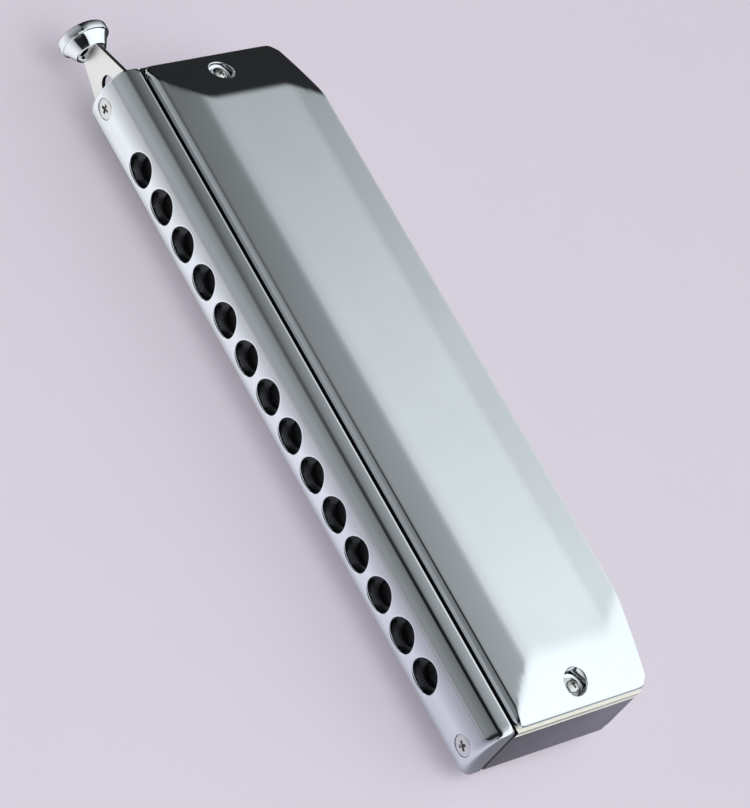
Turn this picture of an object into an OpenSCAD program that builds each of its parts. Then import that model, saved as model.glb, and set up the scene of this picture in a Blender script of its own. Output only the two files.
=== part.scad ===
// Chromatic harmonica: a chromed mouthpiece and two cover plates round a resin comb,
// with a spring-loaded slide that a button at one end pushes in.
// X runs along the mouth holes, with the button at -X. Y runs from the mouthpiece to the open backs.
// The origin lies in the middle of the row of mouth holes, on the front of the mouthpiece.

/* [Mouth holes] */
// Number of mouth holes
hole_count = 14; // [12:1:16]
// Distance from one mouth hole to the next
hole_pitch = 9.2; // [9:0.1:9.8]
// Diameter of a mouth hole
hole_d = 7.2; // [6.6:0.1:7.6]
// Width of the bevel round a mouth hole
hole_bevel = 0.3; // [0.1:0.05:0.4]

/* [Mouthpiece] */
// Distance from the centre of the last hole to the end of the mouthpiece
mouthpiece_margin = 19; // [18:0.5:22]
// Height of the mouthpiece over its rear rim
mouthpiece_h = 17.6; // [17.2:0.1:17.8]
// Radius of the curved front
front_r = 12; // [11.5:0.5:14]
// Radius of the shoulders between the curved front and the rim
shoulder_r = 4; // [3.6:0.1:4.4]
// Distance from the front of the mouthpiece to its rear rim
rim_front = 4.6; // [4.4:0.1:4.8]
// Depth of the rear rim
rim_depth = 1.1; // [0.9:0.1:1.3]
// Depth of the lower foot behind the rim
foot_depth = 1; // [0.8:0.1:1.2]
// Height of the mouthpiece over its foot
foot_h = 14.8; // [14.6:0.1:15.2]
// How far the curved front is set in from the rim
rim_step = 0.3; // [0.2:0.05:0.4]
// Corner radius of the mouthpiece, seen from the front
mouthpiece_corner_r = 1.8; // [1.2:0.1:2.6]
// Radius at the closed end of the curved front, seen from above
front_end_r = 1.5; // [1:0.1:2.5]
// Thickness of the front wall on the line of the holes
front_wall = 3; // [2.8:0.1:3.2]
// Thickness of the long side walls of the mouthpiece's foot
side_wall = 0.6; // [0.55:0.05:0.7]
// Thickness of the closed end wall
end_wall = 1.6; // [1.2:0.1:1.8]

/* [Slide and button] */
// Thickness of the slide
slide_t = 0.9; // [0.8:0.05:1.1]
// Thickness of the plate in front of the slide
front_guide_t = 0.8; // [0.6:0.05:1]
// Thickness of the plate behind the slide
rear_guide_t = 0.9; // [0.7:0.05:1.1]
// Running clearance on each side of the slide
slide_play = 0.05; // [0.03:0.01:0.08]
// Clearance between the slide and the side walls of its channel
channel_play = 0.1; // [0.08:0.02:0.2]
// Width of a window in the slide
window_w = 4; // [3.6:0.1:4]
// Height of a window in the slide
window_h = 3.8; // [3.2:0.1:4]
// Distance of each row of windows from the middle plane
window_row = 2.9; // [2.7:0.1:3]
// Distance from the end of the mouthpiece to the button
arm_reach = 9.95; // [9:0.05:12]
// Width of the slide's arm where it meets the button
arm_tip_w = 6.4; // [5.6:0.1:6.8]
// Length over which the arm widens to the full slide
arm_taper = 9.6; // [8.4:0.1:9.8]
// Diameter of the button
button_d = 10.6; // [9.6:0.1:12]
// Thickness of the button's rim
button_rim = 2; // [1.6:0.1:2.6]
// Length of the button's cone
button_cone = 2.65; // [2:0.05:3.2]
// Diameter of the button where it meets the arm
button_neck_d = 6.8; // [6.8:0.1:7.6]
// Diameter of the round recess in the button's neck
button_recess_d = 5.6; // [5:0.1:5.8]
// Length of the slot in the arm, past the mouthpiece screw
arm_slot = 5.25; // [5:0.05:5.8]
// Gap left between the slide and its stops at each end of its travel
stop_gap = 0.25; // [0.1:0.05:0.3]
// Wall thickness of the sleeves that the slide stops against
sleeve_wall = 0.9; // [0.7:0.05:1]

/* [Comb] */
// Thickness of the comb
comb_h = 11; // [10.8:0.1:11.4]
// Thickness of the walls between cells
cell_wall = 1.2; // [1.1:0.05:1.3]
// Thickness of the wall between the upper and lower cells
middle_wall = 1.4; // [1.4:0.1:1.8]
// Thickness of the front beam between the mouthpiece and the cells
front_beam = 2.5; // [2.3:0.1:3]
// How far the comb stays short of the ends of the mouthpiece
comb_inset = 0.1; // [0:0.05:0.4]
// Thickness of the lips that hold the ends of the lower reed plate
comb_lip = 0.7; // [0.6:0.05:0.9]

/* [Reed plates] */
// Thickness of a reed plate
plate_t = 1; // [0.9:0.05:1.2]
// Thickness of the gasket under a reed plate
gasket_t = 0.8; // [0.7:0.05:1]
// Length of the longest slot
long_slot = 21; // [19:0.5:21.5]
// Length of the shortest slot
short_slot = 12; // [10:0.5:14]
// Width of a reed
reed_w = 2.2; // [2:0.1:2.3]
// Thickness of a reed
reed_t = 0.3; // [0.2:0.05:0.35]
// Gap between a reed and the side of its slot
slot_gap = 0.08; // [0.05:0.01:0.15]
// Length of the pad that holds a reed
pad_len = 3.2; // [2.8:0.1:3.4]
// Width of the pad that holds a reed
pad_w = 2.9; // [2.6:0.1:3]
// Thickness of a wind-saver valve
valve_t = 0.15; // [0.1:0.05:0.2]
// Width of a wind-saver valve
valve_w = 3; // [2.8:0.1:3.1]

/* [Covers] */
// Thickness of the cover sheet
cover_t = 0.7; // [0.6:0.05:0.8]
// Gap between the mouthpiece and the cover
cover_gap = 0.7; // [0.6:0.1:1.2]
// How far the cover stays short of the ends of the comb
cover_inset = 0.5; // [0.3:0.1:0.8]
// Height of the upright front lip
lip_h = 1.4; // [1.3:0.1:2]
// Width of the front slope
front_slope = 7.8; // [7:0.1:8.4]
// Width of the flat
flat_w = 19.9; // [18:0.1:22]
// Width of the rising strip along the open back
back_w = 5.7; // [5:0.1:6.4]
// Height of the flat over the reed plate
flat_h = 5.1; // [4.8:0.1:6]
// How much the back edge stands above the flat
back_rise = 1.7; // [1.2:0.1:2.2]
// Length of the slope at each end
end_slope = 12.3; // [11.5:0.1:13]
// Height of the upright edge at each end
end_edge_h = 0.4; // [0.3:0.05:0.7]
// Radius of the rear corners of the cover, seen from above
cover_corner_r = 2.2; // [2:0.1:3.2]
// Radius of the front corners of the cover, seen from above
cover_front_r = 2; // [1.6:0.1:3]
// Radius of the rolled edge along the open back
hem_r = 0.7; // [0.6:0.05:0.8]
// Width of the closed part of the back at each end
back_corner = 16.2; // [15:0.1:20]
// How far the reed plates and the comb stay short of the back edge of the cover
plate_inset = 0.5; // [0.4:0.1:0.8]

/* [Fasteners] */
// Distance of a mouthpiece screw from the end of the mouthpiece
mouth_screw_inset = 3.6; // [3.4:0.1:4]
// Shank diameter of a mouthpiece screw
mouth_screw_d = 2; // [1.8:0.1:2.2]
// Head diameter of a mouthpiece screw
mouth_head_d = 4.5; // [4.2:0.1:4.8]
// Length of a mouthpiece screw
mouth_screw_len = 12; // [10:0.5:14]
// Distance of a cover screw from the end of the cover
cover_screw_inset = 4.85; // [4.8:0.05:5.2]
// Distance of a cover screw behind the front of the cover
cover_screw_y = 16.3; // [15:0.1:17.5]
// Shank diameter of a cover screw
cover_screw_d = 2; // [1.8:0.1:2.2]
// Head diameter of a cover screw
cover_head_d = 3.6; // [3.2:0.1:3.8]
// Diameter of the round pocket that a cover screw sits in
pocket_d = 5.6; // [5:0.1:5.6]
// Length of a cover screw under its head
cover_screw_len = 6; // [5:0.1:6.2]
// Shank diameter of a reed plate screw
plate_screw_d = 1.6; // [1.4:0.1:1.7]
// Head diameter of a reed plate screw
plate_head_d = 2.6; // [2.3:0.1:2.8]
// Length of a reed plate screw under its head
plate_screw_len = 4.4; // [3.6:0.1:4.8]
// Distance of the outer reed plate screws from the ends of the comb
plate_screw_inset = 11.1; // [10.6:0.1:11.4]
// Distance of the front reed plate screws behind the front of the plate
plate_screw_front = 5.6; // [3.6:0.1:6.1]
// Distance of the rear reed plate screws from the back of the plate
plate_screw_back = 4.8; // [4:0.1:8]
// Distance of the two middle reed plate screws from the back of the plate
middle_screw_back = 3.6; // [3:0.1:4.5]
// Distance between the two middle reed plate screws
middle_screw_gap = 36; // [30:1:40]
// Distance of the middle reed plate screws' centre from the middle, towards the button
middle_screw_shift = 28; // [24:1:32]
// Diameter of a reed rivet
rivet_d = 1.1; // [0.9:0.05:1.2]

/* [Return spring] */
// Diameter of the spring wire
wire_d = 0.8; // [0.6:0.05:0.9]
// Length of the legs of the hairpin spring
spring_leg = 12; // [9:0.5:14]
// Distance between the legs of the hairpin spring
spring_w = 6; // [5.8:0.1:6.2]
// Distance of the spring's moving leg from the slot in the arm
spring_gap = 1.8; // [1.6:0.1:2]

/* [Hidden] */
$fn = 64;

// How far a cutting shape runs past the face that it cuts
past = 1;
// Clearance round a shank, rivet or leg in its hole
hole_play = 0.04;
// Clearance between pieces that lie side by side
side_play = 0.1;
// Clearance round the legs of the spring
spring_play = 0.3;
// Room left below the tip of a screw
tip_room = 0.5;
// Room left between a reed's pad and the end of its cell
pad_room = 0.8;
// How much wider and taller than the slide's windows the openings of the front plate are, on each side
guide_room = 0.5;

// Screw heads: their straight edge, and the cross recess as shares of the head's diameter
head_edge = 0.2;
recess_len = 0.56;
recess_w = 0.13;
recess_depth = 0.7;
plate_head_h = 0.7;
cover_head_h = 0.9;
// How deep the top of a mouthpiece screw lies, and the depth of its seat's straight wall
mouth_screw_y = 0.18;
mouth_seat = 0.4;
// Rivets: the rims by which head and tail overhang the shank, and their heights
rivet_head_rim = 0.4;
rivet_head_h = 0.35;
rivet_tail_rim = 0.25;
rivet_tail_h = 0.15;
// Valves: the glued length in front of a slot, and the free length past a slot's end
valve_glued = 2.4;
valve_free = 0.5;
// Button: the step from its cone to its rim, and the depth of the recess in its neck
button_step = 0.4;
button_recess = 0.6;
// How far the rolled edge of the cover runs into the closed corners
hem_lap = 0.3;

// Places along X
hole_line = (hole_count - 1) / 2 * hole_pitch;
mouth_half = hole_line + mouthpiece_margin;
mouth_screw_x = mouth_half - mouth_screw_inset;
channel_end = mouth_half - end_wall;
comb_half = mouth_half - comb_inset;
lower_half = comb_half - comb_lip - side_play;
cover_half = comb_half - cover_inset;
cover_screw_x = cover_half - cover_screw_inset;
cell_count = 2 * hole_count;
cell_pitch = hole_pitch / 2;
cell_w = cell_pitch - cell_wall;

// Places along Y, from the front of the mouthpiece backwards
mouth_depth = rim_front + rim_depth + foot_depth;
slide_y = front_wall + front_guide_t + slide_play;
rear_guide_y = slide_y + slide_t + slide_play;
comb_y = rear_guide_y + rear_guide_t;
cell_y = mouth_depth + front_beam;
slot_y = cell_y + pad_len + pad_room;
cover_y = mouth_depth + cover_gap;
cover_back = cover_y + front_slope + flat_w + back_w;
plate_back = cover_back - plate_inset;
comb_back = plate_back;

// Heights over the middle plane
channel_half = foot_h / 2 - side_wall;
slide_half = channel_half - channel_play;
gasket_z = comb_h / 2;
plate_z = gasket_z + gasket_t;
plate_top = plate_z + plate_t;
flat_z = plate_top + flat_h;
back_z = flat_z + back_rise;

// The slide travels half a hole pitch, which swaps its two rows of windows
travel = hole_pitch / 2;
button_x = -(mouth_half + arm_reach);
sleeve_r = mouth_screw_d / 2 + hole_play + sleeve_wall;
arm_slot_r = sleeve_r + stop_gap;
spring_x = -(mouth_screw_x - arm_slot_r - spring_gap);
// Tongue of the slide that is held in the button
tongue_len = 3;
tongue_w = 4.2;
// Floor of the pocket in the cover that a cover screw sits in
pocket_floor = 0.8;

// A reed's slot gets shorter from the low notes at +X to the high notes at -X
function cell_x(c) = (c - (cell_count - 1) / 2) * cell_pitch;
function slot_len(c) = short_slot + (long_slot - short_slot) * c / (cell_count - 1);
function slot_end(c) = slot_y + slot_len(c);
function is_draw(c) = c % 2 == 1;
function hole_x(i) = (i - (hole_count - 1) / 2) * hole_pitch;

// Moves each side of a clockwise outline inwards by the distance t
function cross2(a, b) = a.x * b.y - a.y * b.x;
function inward(a, b, t) = [(b - a).y, -(b - a).x] / norm(b - a) * t;
function meet(p, d, q, e) = p + d * cross2(q - p, e) / cross2(d, e);
function inset(path, t) = [
    for (i = [0 : len(path) - 1])
        let (n = len(path), a = path[(i + n - 1) % n], b = path[i], c = path[(i + 1) % n])
        meet(a + inward(a, b, t), b - a, b + inward(b, c, t), c - b)
];

// Extrudes an outline drawn in Y and Z to both sides of the middle of X
module along_x(length) {
    rotate([90, 0, 90]) linear_extrude(length, center = true) children();
}

// Extrudes an outline drawn in X and Z from y0 to y1
module along_y(y0, y1) {
    translate([0, y1, 0]) rotate([90, 0, 0]) linear_extrude(y1 - y0) children();
}

// Extrudes an outline drawn in X and Y from z0 to z1
module along_z(z0, z1) {
    translate([0, 0, z0]) linear_extrude(z1 - z0) children();
}

// A straight hole along Y
module bore_y(x, z, r, y0, y1) {
    translate([x, y1, z]) rotate([90, 0, 0]) cylinder(r = r, h = y1 - y0);
}

// A straight hole along Z
module bore_z(x, y, r, z0, z1) {
    translate([x, y, z0]) cylinder(r = r, h = z1 - z0);
}

// A rectangle from corner a to corner b, with four round corners
module rounded_rect(a, b, r) {
    translate([a.x + r, a.y]) square([b.x - a.x - 2 * r, b.y - a.y]);
    translate([a.x, a.y + r]) square([b.x - a.x, b.y - a.y - 2 * r]);
    for (x = [a.x + r, b.x - r], y = [a.y + r, b.y - r]) translate([x, y]) circle(r);
}

// The same with its own radius at the two corners nearer to the front
module cover_plan(a, b, front_r, rear_r) {
    middle = (a.y + b.y) / 2;
    rounded_rect(a, [b.x, middle + front_r], front_r);
    rounded_rect([a.x, middle - rear_r], b, rear_r);
}

// A slot with round ends, between two centres on one level
module round_slot(x0, x1, r) {
    translate([x0, -r]) square([x1 - x0, 2 * r]);
    for (x = [x0, x1]) translate([x, 0]) circle(r);
}

// A rectangle in plan whose two rear corners are round
module rear_rounded(half, y0, y1, r) {
    translate([-half, y0]) square([2 * half, y1 - y0 - r]);
    translate([-half + r, y0]) square([2 * half - 2 * r, y1 - y0]);
    for (x = [-half + r, half - r]) translate([x, y1 - r]) circle(r);
}

module at_both_ends() {
    for (s = [-1, 1]) scale([s, 1, 1]) children();
}

// The cross-shaped recess in a screw head that faces +Z
module cross_recess(head_d, depth) {
    len = recess_len * head_d;
    wide = recess_w * head_d;
    for (turn = [0, 90]) rotate(turn) translate([-len / 2, -wide / 2, -depth])
        cube([len, wide, depth + past]);
}

// A screw with a flat conical head, its top at z = 0 and its shank below
module countersunk_screw(head_d, shank_d, length) {
    cone = (head_d - shank_d) / 2;
    difference() {
        union() {
            translate([0, 0, -head_edge]) cylinder(d = head_d, h = head_edge);
            translate([0, 0, -head_edge - cone]) cylinder(d1 = shank_d, d2 = head_d, h = cone);
            translate([0, 0, -length]) cylinder(d = shank_d, h = length - head_edge);
        }
        cross_recess(head_d, recess_depth);
    }
}

// A screw with a round flat-topped head that stands on z = 0, its shank below
module pan_screw(head_d, head_h, shank_d, length) {
    difference() {
        union() {
            cylinder(d = head_d, h = head_h);
            translate([0, 0, -length]) cylinder(d = shank_d, h = length + head_h / 2);
        }
        translate([0, 0, head_h]) cross_recess(head_d, head_h * 0.6);
    }
}

// Outline of the curved front in Y and Z: one wide arc with a tighter arc at each shoulder
module front_outline() {
    half = mouthpiece_h / 2 - rim_step;
    turn = asin((half - shoulder_r) / (front_r - shoulder_r));
    reach = front_r * sin(turn);
    intersection() {
        union() {
            intersection() {
                translate([front_r, 0]) circle(front_r, $fn = 180);
                translate([0, -reach]) square([front_r, 2 * reach]);
            }
            for (s = [-1, 1])
                translate([front_r - (front_r - shoulder_r) * cos(turn), s * (half - shoulder_r)])
                    circle(shoulder_r);
        }
        translate([-past, -mouthpiece_h / 2]) square([rim_front + past, mouthpiece_h]);
    }
}

module mouthpiece_body() {
    half_h = mouthpiece_h / 2;
    front_half = mouth_half - rim_step;
    front_h = half_h - rim_step;
    along_y(rim_front, rim_front + rim_depth)
        rounded_rect([-mouth_half, -half_h], [mouth_half, half_h], mouthpiece_corner_r);
    along_y(rim_front, mouth_depth)
        rounded_rect([-mouth_half, -foot_h / 2], [mouth_half, foot_h / 2], mouthpiece_corner_r / 2);
    intersection() {
        along_x(2 * mouth_half) front_outline();
        along_y(-past, rim_front) rounded_rect([-mouth_half, -front_h], [front_half, front_h],
            mouthpiece_corner_r);
        // The button's end is cut off square
        along_z(-half_h, half_h)
            rounded_rect([-mouth_half - front_end_r, 0], [front_half, 4 * rim_front], front_end_r);
    }
}

module mouthpiece() {
    color("silver") difference() {
        mouthpiece_body();
        // Channel for the slide and its guide plates, open at the button's end
        translate([-mouth_half - past, front_wall, -channel_half])
            cube([mouth_half + past + channel_end, mouth_depth, 2 * channel_half]);
        for (i = [0 : hole_count - 1]) {
            bore_y(hole_x(i), 0, hole_d / 2, -past, front_wall + past);
            // Bevel that cuts the curved front on the middle line
            translate([hole_x(i), hole_bevel, 0]) rotate([90, 0, 0])
                cylinder(d1 = hole_d, d2 = hole_d + 4 * hole_bevel, h = 2 * hole_bevel);
        }
        for (x = [-mouth_screw_x, mouth_screw_x]) {
            bore_y(x, 0, mouth_screw_d / 2 + hole_play, -past, front_wall + past);
            bore_y(x, 0, mouth_head_d / 2 + hole_play, -past, mouth_seat);
            translate([x, mouth_seat + (mouth_head_d - mouth_screw_d) / 2, 0]) rotate([90, 0, 0])
                cylinder(d1 = mouth_screw_d + 2 * hole_play, d2 = mouth_head_d + 2 * hole_play,
                    h = (mouth_head_d - mouth_screw_d) / 2);
        }
    }
}

module mouthpiece_screws() {
    color("gainsboro") for (x = [-mouth_screw_x, mouth_screw_x])
        translate([x, mouth_screw_y, 0]) rotate([90, 0, 0])
            countersunk_screw(mouth_head_d, mouth_screw_d, mouth_screw_len);
}

// Outline in X and Z that both guide plates share
module guide_outline() {
    end = channel_end - side_play;
    height = channel_half - side_play / 2;
    translate([-end, -height]) square([2 * end, 2 * height]);
}

module front_guide_plate() {
    hole_r = window_w / 2 + guide_room;
    color("black") difference() {
        along_y(front_wall, front_wall + front_guide_t) guide_outline();
        for (i = [0 : hole_count - 1])
            translate([hole_x(i), 0, 0]) rotate([0, 90, 0])
                along_y(front_wall - past, front_wall + front_guide_t + past)
                    round_slot(-1, 1, hole_r);
        for (x = [-mouth_screw_x, mouth_screw_x])
            bore_y(x, 0, mouth_screw_d / 2 + hole_play, 0, mouth_depth);
    }
}

module rear_guide_plate() {
    color("lightgray") difference() {
        along_y(rear_guide_y, rear_guide_y + rear_guide_t) guide_outline();
        for (i = [0 : hole_count - 1], row = [-window_row, window_row])
            translate([hole_x(i) - window_w / 2 - side_play, rear_guide_y - past,
                row - window_h / 2 - side_play])
                cube([window_w + 2 * side_play, rear_guide_t + 2 * past, window_h + 2 * side_play]);
        for (x = [-mouth_screw_x, mouth_screw_x])
            bore_y(x, 0, mouth_screw_d / 2 + hole_play, 0, comb_y + past);
        // Slot that lets the spring's long leg follow the slide
        along_y(rear_guide_y - past, comb_y + past)
            round_slot(spring_x, spring_x + travel, wire_d / 2 + spring_play);
    }
}

module slide() {
    wide_x = button_x + arm_taper;
    end_x = mouth_screw_x - sleeve_r - travel - stop_gap;
    tip = arm_tip_w / 2;
    tongue = tongue_w / 2;
    color("whitesmoke") difference() {
        along_y(slide_y, slide_y + slide_t) polygon([
            [button_x - tongue_len, -tongue], [button_x - tongue_len, tongue],
            [button_x, tongue], [button_x, tip],
            [wide_x, slide_half], [end_x, slide_half],
            [end_x, -slide_half], [wide_x, -slide_half],
            [button_x, -tip], [button_x, -tongue]
        ]);
        for (i = [0 : hole_count - 1], row = [-1, 1])
            translate([hole_x(i) - window_w / 2 - (row < 0 ? travel : 0), slide_y - past,
                row * window_row - window_h / 2])
                cube([window_w, slide_t + 2 * past, window_h]);
        // Slot round the sleeve of the mouthpiece screw
        along_y(slide_y - past, slide_y + slide_t + past)
            round_slot(-mouth_screw_x - arm_slot, -mouth_screw_x, arm_slot_r);
        bore_y(spring_x, 0, wire_d / 2 + spring_play, slide_y - past, slide_y + slide_t + past);
    }
}

module button() {
    axis_y = slide_y + slide_t / 2;
    slot_w = tongue_w + 2 * side_play;
    slot_len = tongue_len + side_play;
    color("silver") difference() {
        translate([button_x, axis_y, 0]) rotate([0, -90, 0]) difference() {
            union() {
                cylinder(d1 = button_neck_d, d2 = button_d - 2 * button_step, h = button_cone);
                translate([0, 0, button_cone]) cylinder(d = button_d, h = button_rim);
            }
            translate([0, 0, -past]) cylinder(d = button_recess_d, h = past + button_recess);
        }
        // Slot for the tongue of the slide
        translate([button_x - slot_len, slide_y - hole_play, -slot_w / 2])
            cube([slot_len, slide_t + 2 * hole_play, slot_w]);
    }
}

module screw_sleeves() {
    color("ivory") for (x = [-mouth_screw_x, mouth_screw_x]) difference() {
        bore_y(x, 0, sleeve_r, slide_y - slide_play, rear_guide_y);
        bore_y(x, 0, mouth_screw_d / 2 + hole_play, front_wall, comb_y);
    }
}

// Space in the comb that the hairpin spring lies in; the spring's fixed leg leans on its far wall
module spring_pocket() {
    left = spring_x - wire_d / 2 - spring_play;
    right = spring_x + spring_w + wire_d / 2;
    depth = spring_leg + spring_w / 2 + wire_d / 2 + spring_play;
    translate([left, comb_y - past, -wire_d / 2 - side_play])
        cube([right - left, depth + past, wire_d + 2 * side_play]);
}

module slide_spring() {
    bend_y = comb_y + spring_leg;
    foot_y = comb_y + spring_play;
    color("dimgray") {
        bore_y(spring_x, 0, wire_d / 2, slide_y + side_play, bend_y);
        bore_y(spring_x + spring_w, 0, wire_d / 2, foot_y, bend_y);
        translate([spring_x + spring_w / 2, bend_y, 0])
            rotate_extrude(angle = 180) translate([spring_w / 2, 0]) circle(wire_d / 2);
    }
}

// One straight-sided cut for each cell on one side, from the plate down to the middle wall
module cell_cuts(z0, z1) {
    for (c = [0 : cell_count - 1])
        translate([cell_x(c) - cell_w / 2, cell_y, z0])
            cube([cell_w, slot_end(c) + pad_len + pad_room - cell_y, z1 - z0]);
}

module comb() {
    color("dimgray") difference() {
        union() {
            along_z(-gasket_z, gasket_z) rear_rounded(comb_half, mouth_depth, comb_back, cover_corner_r);
            along_y(comb_y, mouth_depth + past)
                translate([-channel_end + side_play, -gasket_z])
                    square([2 * channel_end - 2 * side_play, 2 * gasket_z]);
            // Lips that keep the lower reed plate from moving along the comb
            at_both_ends() translate([comb_half - comb_lip, cover_y, -plate_top])
                cube([comb_lip, comb_back - cover_corner_r - cover_y, plate_top]);
        }
        for (s = [-1, 1]) scale([1, 1, s]) {
            cell_cuts(middle_wall / 2, gasket_z + past);
            // Air passages from the mouthpiece into the cells
            for (c = [0 : cell_count - 1])
                translate([cell_x(c) - cell_w / 2, comb_y - past, window_row - window_h / 2])
                    cube([cell_w, cell_y - comb_y + 2 * past, window_h]);
            for (p = plate_screw_places())
                bore_z(p.x, p.y, plate_screw_d / 2 + hole_play, plate_z - plate_screw_len, gasket_z + past);
            for (x = [-cover_screw_x, cover_screw_x])
                bore_z(x, cover_y + cover_screw_y, cover_screw_d / 2 + hole_play,
                    plate_top + pocket_floor - cover_screw_len - side_play, gasket_z + past);
        }
        for (x = [-mouth_screw_x, mouth_screw_x])
            bore_y(x, 0, mouth_screw_d / 2 + hole_play, 0, mouth_screw_len + tip_room);
        spring_pocket();
    }
}

// Reed plate screws: two at each end, and two behind the short cells
function plate_screw_places() = [
    for (x = [-1, 1], y = [cover_y + plate_screw_front, plate_back - plate_screw_back])
        [x * (comb_half - plate_screw_inset), y],
    for (s = [-1, 1]) [s * middle_screw_gap / 2 - middle_screw_shift, plate_back - middle_screw_back]
];

// The outline that a reed plate and its gasket share, with their screw holes
module plate_blank(half, z0, z1) {
    difference() {
        along_z(z0, z1) rear_rounded(half, cover_y, plate_back, cover_corner_r);
        for (p = plate_screw_places())
            bore_z(p.x, p.y, plate_screw_d / 2 + hole_play, z0 - past, z1 + past);
        for (x = [-cover_screw_x, cover_screw_x])
            bore_z(x, cover_y + cover_screw_y, cover_screw_d / 2 + hole_play, z0 - past, z1 + past);
    }
}

module gasket(half) {
    color("ivory") difference() {
        plate_blank(half, gasket_z, plate_z);
        cell_cuts(gasket_z - past, plate_z + past);
    }
}

function rivet_y(c) = is_draw(c) ? slot_end(c) + pad_len / 2 : slot_y - pad_len / 2;

module reed_plate(half) {
    color("khaki") difference() {
        plate_blank(half, plate_z, plate_top);
        for (c = [0 : cell_count - 1]) {
            translate([cell_x(c) - reed_w / 2 - slot_gap, slot_y, plate_z - past])
                cube([reed_w + 2 * slot_gap, slot_len(c), plate_t + 2 * past]);
            bore_z(cell_x(c), rivet_y(c), rivet_d / 2 + hole_play, plate_z - past, plate_top + past);
        }
    }
}

// Turns pieces made for the outer face of the plate over onto its inner face
module on_inner_face() {
    translate([0, 0, plate_z + plate_top]) mirror([0, 0, 1]) children();
}

// The reeds of one kind, lying on the outer face: draw reeds are held at the back, blow reeds in front
module reeds(draw) {
    first = draw ? 1 : 0;
    for (c = [first : 2 : cell_count - 1]) {
        pad_y = draw ? slot_end(c) : slot_y - pad_len;
        tongue_y = draw ? slot_y + slot_gap : slot_y - past / 2;
        color("goldenrod") difference() {
            union() {
                translate([cell_x(c) - pad_w / 2, pad_y, plate_top]) cube([pad_w, pad_len, reed_t]);
                translate([cell_x(c) - reed_w / 2, tongue_y, plate_top])
                    cube([reed_w, slot_len(c) + past / 2 - slot_gap, reed_t]);
            }
            bore_z(cell_x(c), rivet_y(c), rivet_d / 2 + hole_play, plate_top - past, plate_top + past);
        }
    }
}

// The rivets of one kind, made for reeds on the outer face
module rivets(draw) {
    first = draw ? 1 : 0;
    tail_d = rivet_d + 2 * rivet_tail_rim;
    head_d = rivet_d + 2 * rivet_head_rim;
    for (c = [first : 2 : cell_count - 1])
        color("darkgoldenrod") translate([cell_x(c), rivet_y(c), 0]) {
            translate([0, 0, plate_z - rivet_tail_h]) cylinder(d = tail_d, h = rivet_tail_h);
            translate([0, 0, plate_z]) cylinder(d = rivet_d, h = plate_t + reed_t);
            translate([0, 0, plate_top + reed_t]) cylinder(d = head_d, h = rivet_head_h);
        }
}

// The valves on one face, drawn on the outer one: each covers a slot whose reed lies on the other face
module valves(over_draw_slots) {
    first = over_draw_slots ? 1 : 0;
    for (c = [first : 2 : cell_count - 1]) {
        y = slot_y - (over_draw_slots ? valve_glued : valve_free);
        color("honeydew") translate([cell_x(c) - valve_w / 2, y, plate_top])
            cube([valve_w, slot_len(c) + valve_glued + valve_free, valve_t]);
    }
}

module plate_screws() {
    color("lightgray") for (p = plate_screw_places())
        translate([p.x, p.y, plate_top])
            pan_screw(plate_head_d, plate_head_h, plate_screw_d, plate_screw_len);
}

// Cross-section of the cover in Y and Z, down to the height base, with its back edge moved out by more
function cover_section(base, more) = [
    [cover_y, base],
    [cover_y, plate_top + lip_h],
    [cover_y + front_slope, flat_z],
    [cover_y + front_slope + flat_w, flat_z],
    [cover_back + more, back_z + more * back_rise / back_w],
    [cover_back + more, base]
];

// Outline of the cover in X and Z, down to the height base
function end_section(base) = let (
    foot = plate_top + end_edge_h,
    top = back_z + past,
    high = cover_half - (top - foot) * end_slope / (flat_z - foot)
) [
    [-cover_half, base], [-cover_half, foot], [-high, top],
    [high, top], [cover_half, foot], [cover_half, base]
];

module cover_outer() {
    intersection() {
        along_x(2 * cover_half) polygon(cover_section(plate_top, 0));
        along_y(cover_y - past, cover_back + past) polygon(end_section(plate_top));
        along_z(plate_top, back_z + past)
            cover_plan([-cover_half, cover_y], [cover_half, cover_back], cover_front_r, cover_corner_r);
    }
}

module cover_inner() {
    low = plate_top - past;
    intersection() {
        along_x(2 * cover_half) polygon(inset(cover_section(low - cover_t, 0), cover_t));
        along_y(cover_y, cover_back) polygon(inset(end_section(low - cover_t), cover_t));
        along_z(low, back_z + past) cover_plan([-cover_half + cover_t, cover_y + cover_t],
            [cover_half - cover_t, cover_back - cover_t], cover_front_r - cover_t, cover_corner_r - cover_t);
    }
}

module cover() {
    rise = atan(back_rise / back_w);
    open_half = cover_half - back_corner;
    hem_y = cover_back - hem_r;
    hem_z = back_z - hem_r * back_rise / back_w - hem_r / cos(rise);
    color("silver") difference() {
        union() {
            difference() {
                cover_outer();
                cover_inner();
                along_x(2 * open_half) difference() {
                    polygon(inset(cover_section(plate_top - past - cover_t, 2), cover_t));
                    square([cover_back - 2 * cover_t, back_z]);
                }
            }
            translate([-open_half - hem_lap, hem_y, hem_z]) rotate([0, 90, 0])
                cylinder(r = hem_r, h = 2 * open_half + 2 * hem_lap);
            // Cups that carry the cover screws down onto the reed plate
            intersection() {
                cover_outer();
                for (x = [-cover_screw_x, cover_screw_x])
                    bore_z(x, cover_y + cover_screw_y, pocket_d / 2 + cover_t, plate_top, back_z);
            }
        }
        for (x = [-cover_screw_x, cover_screw_x]) {
            bore_z(x, cover_y + cover_screw_y, pocket_d / 2, plate_top + pocket_floor, back_z);
            bore_z(x, cover_y + cover_screw_y, cover_screw_d / 2 + hole_play, plate_top - past, back_z);
        }
    }
}

module cover_screws() {
    color("gainsboro") for (x = [-cover_screw_x, cover_screw_x])
        translate([x, cover_y + cover_screw_y, plate_top + pocket_floor])
            pan_screw(cover_head_d, cover_head_h, cover_screw_d, cover_screw_len);
}

module below() {
    mirror([0, 0, 1]) children();
}

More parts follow.
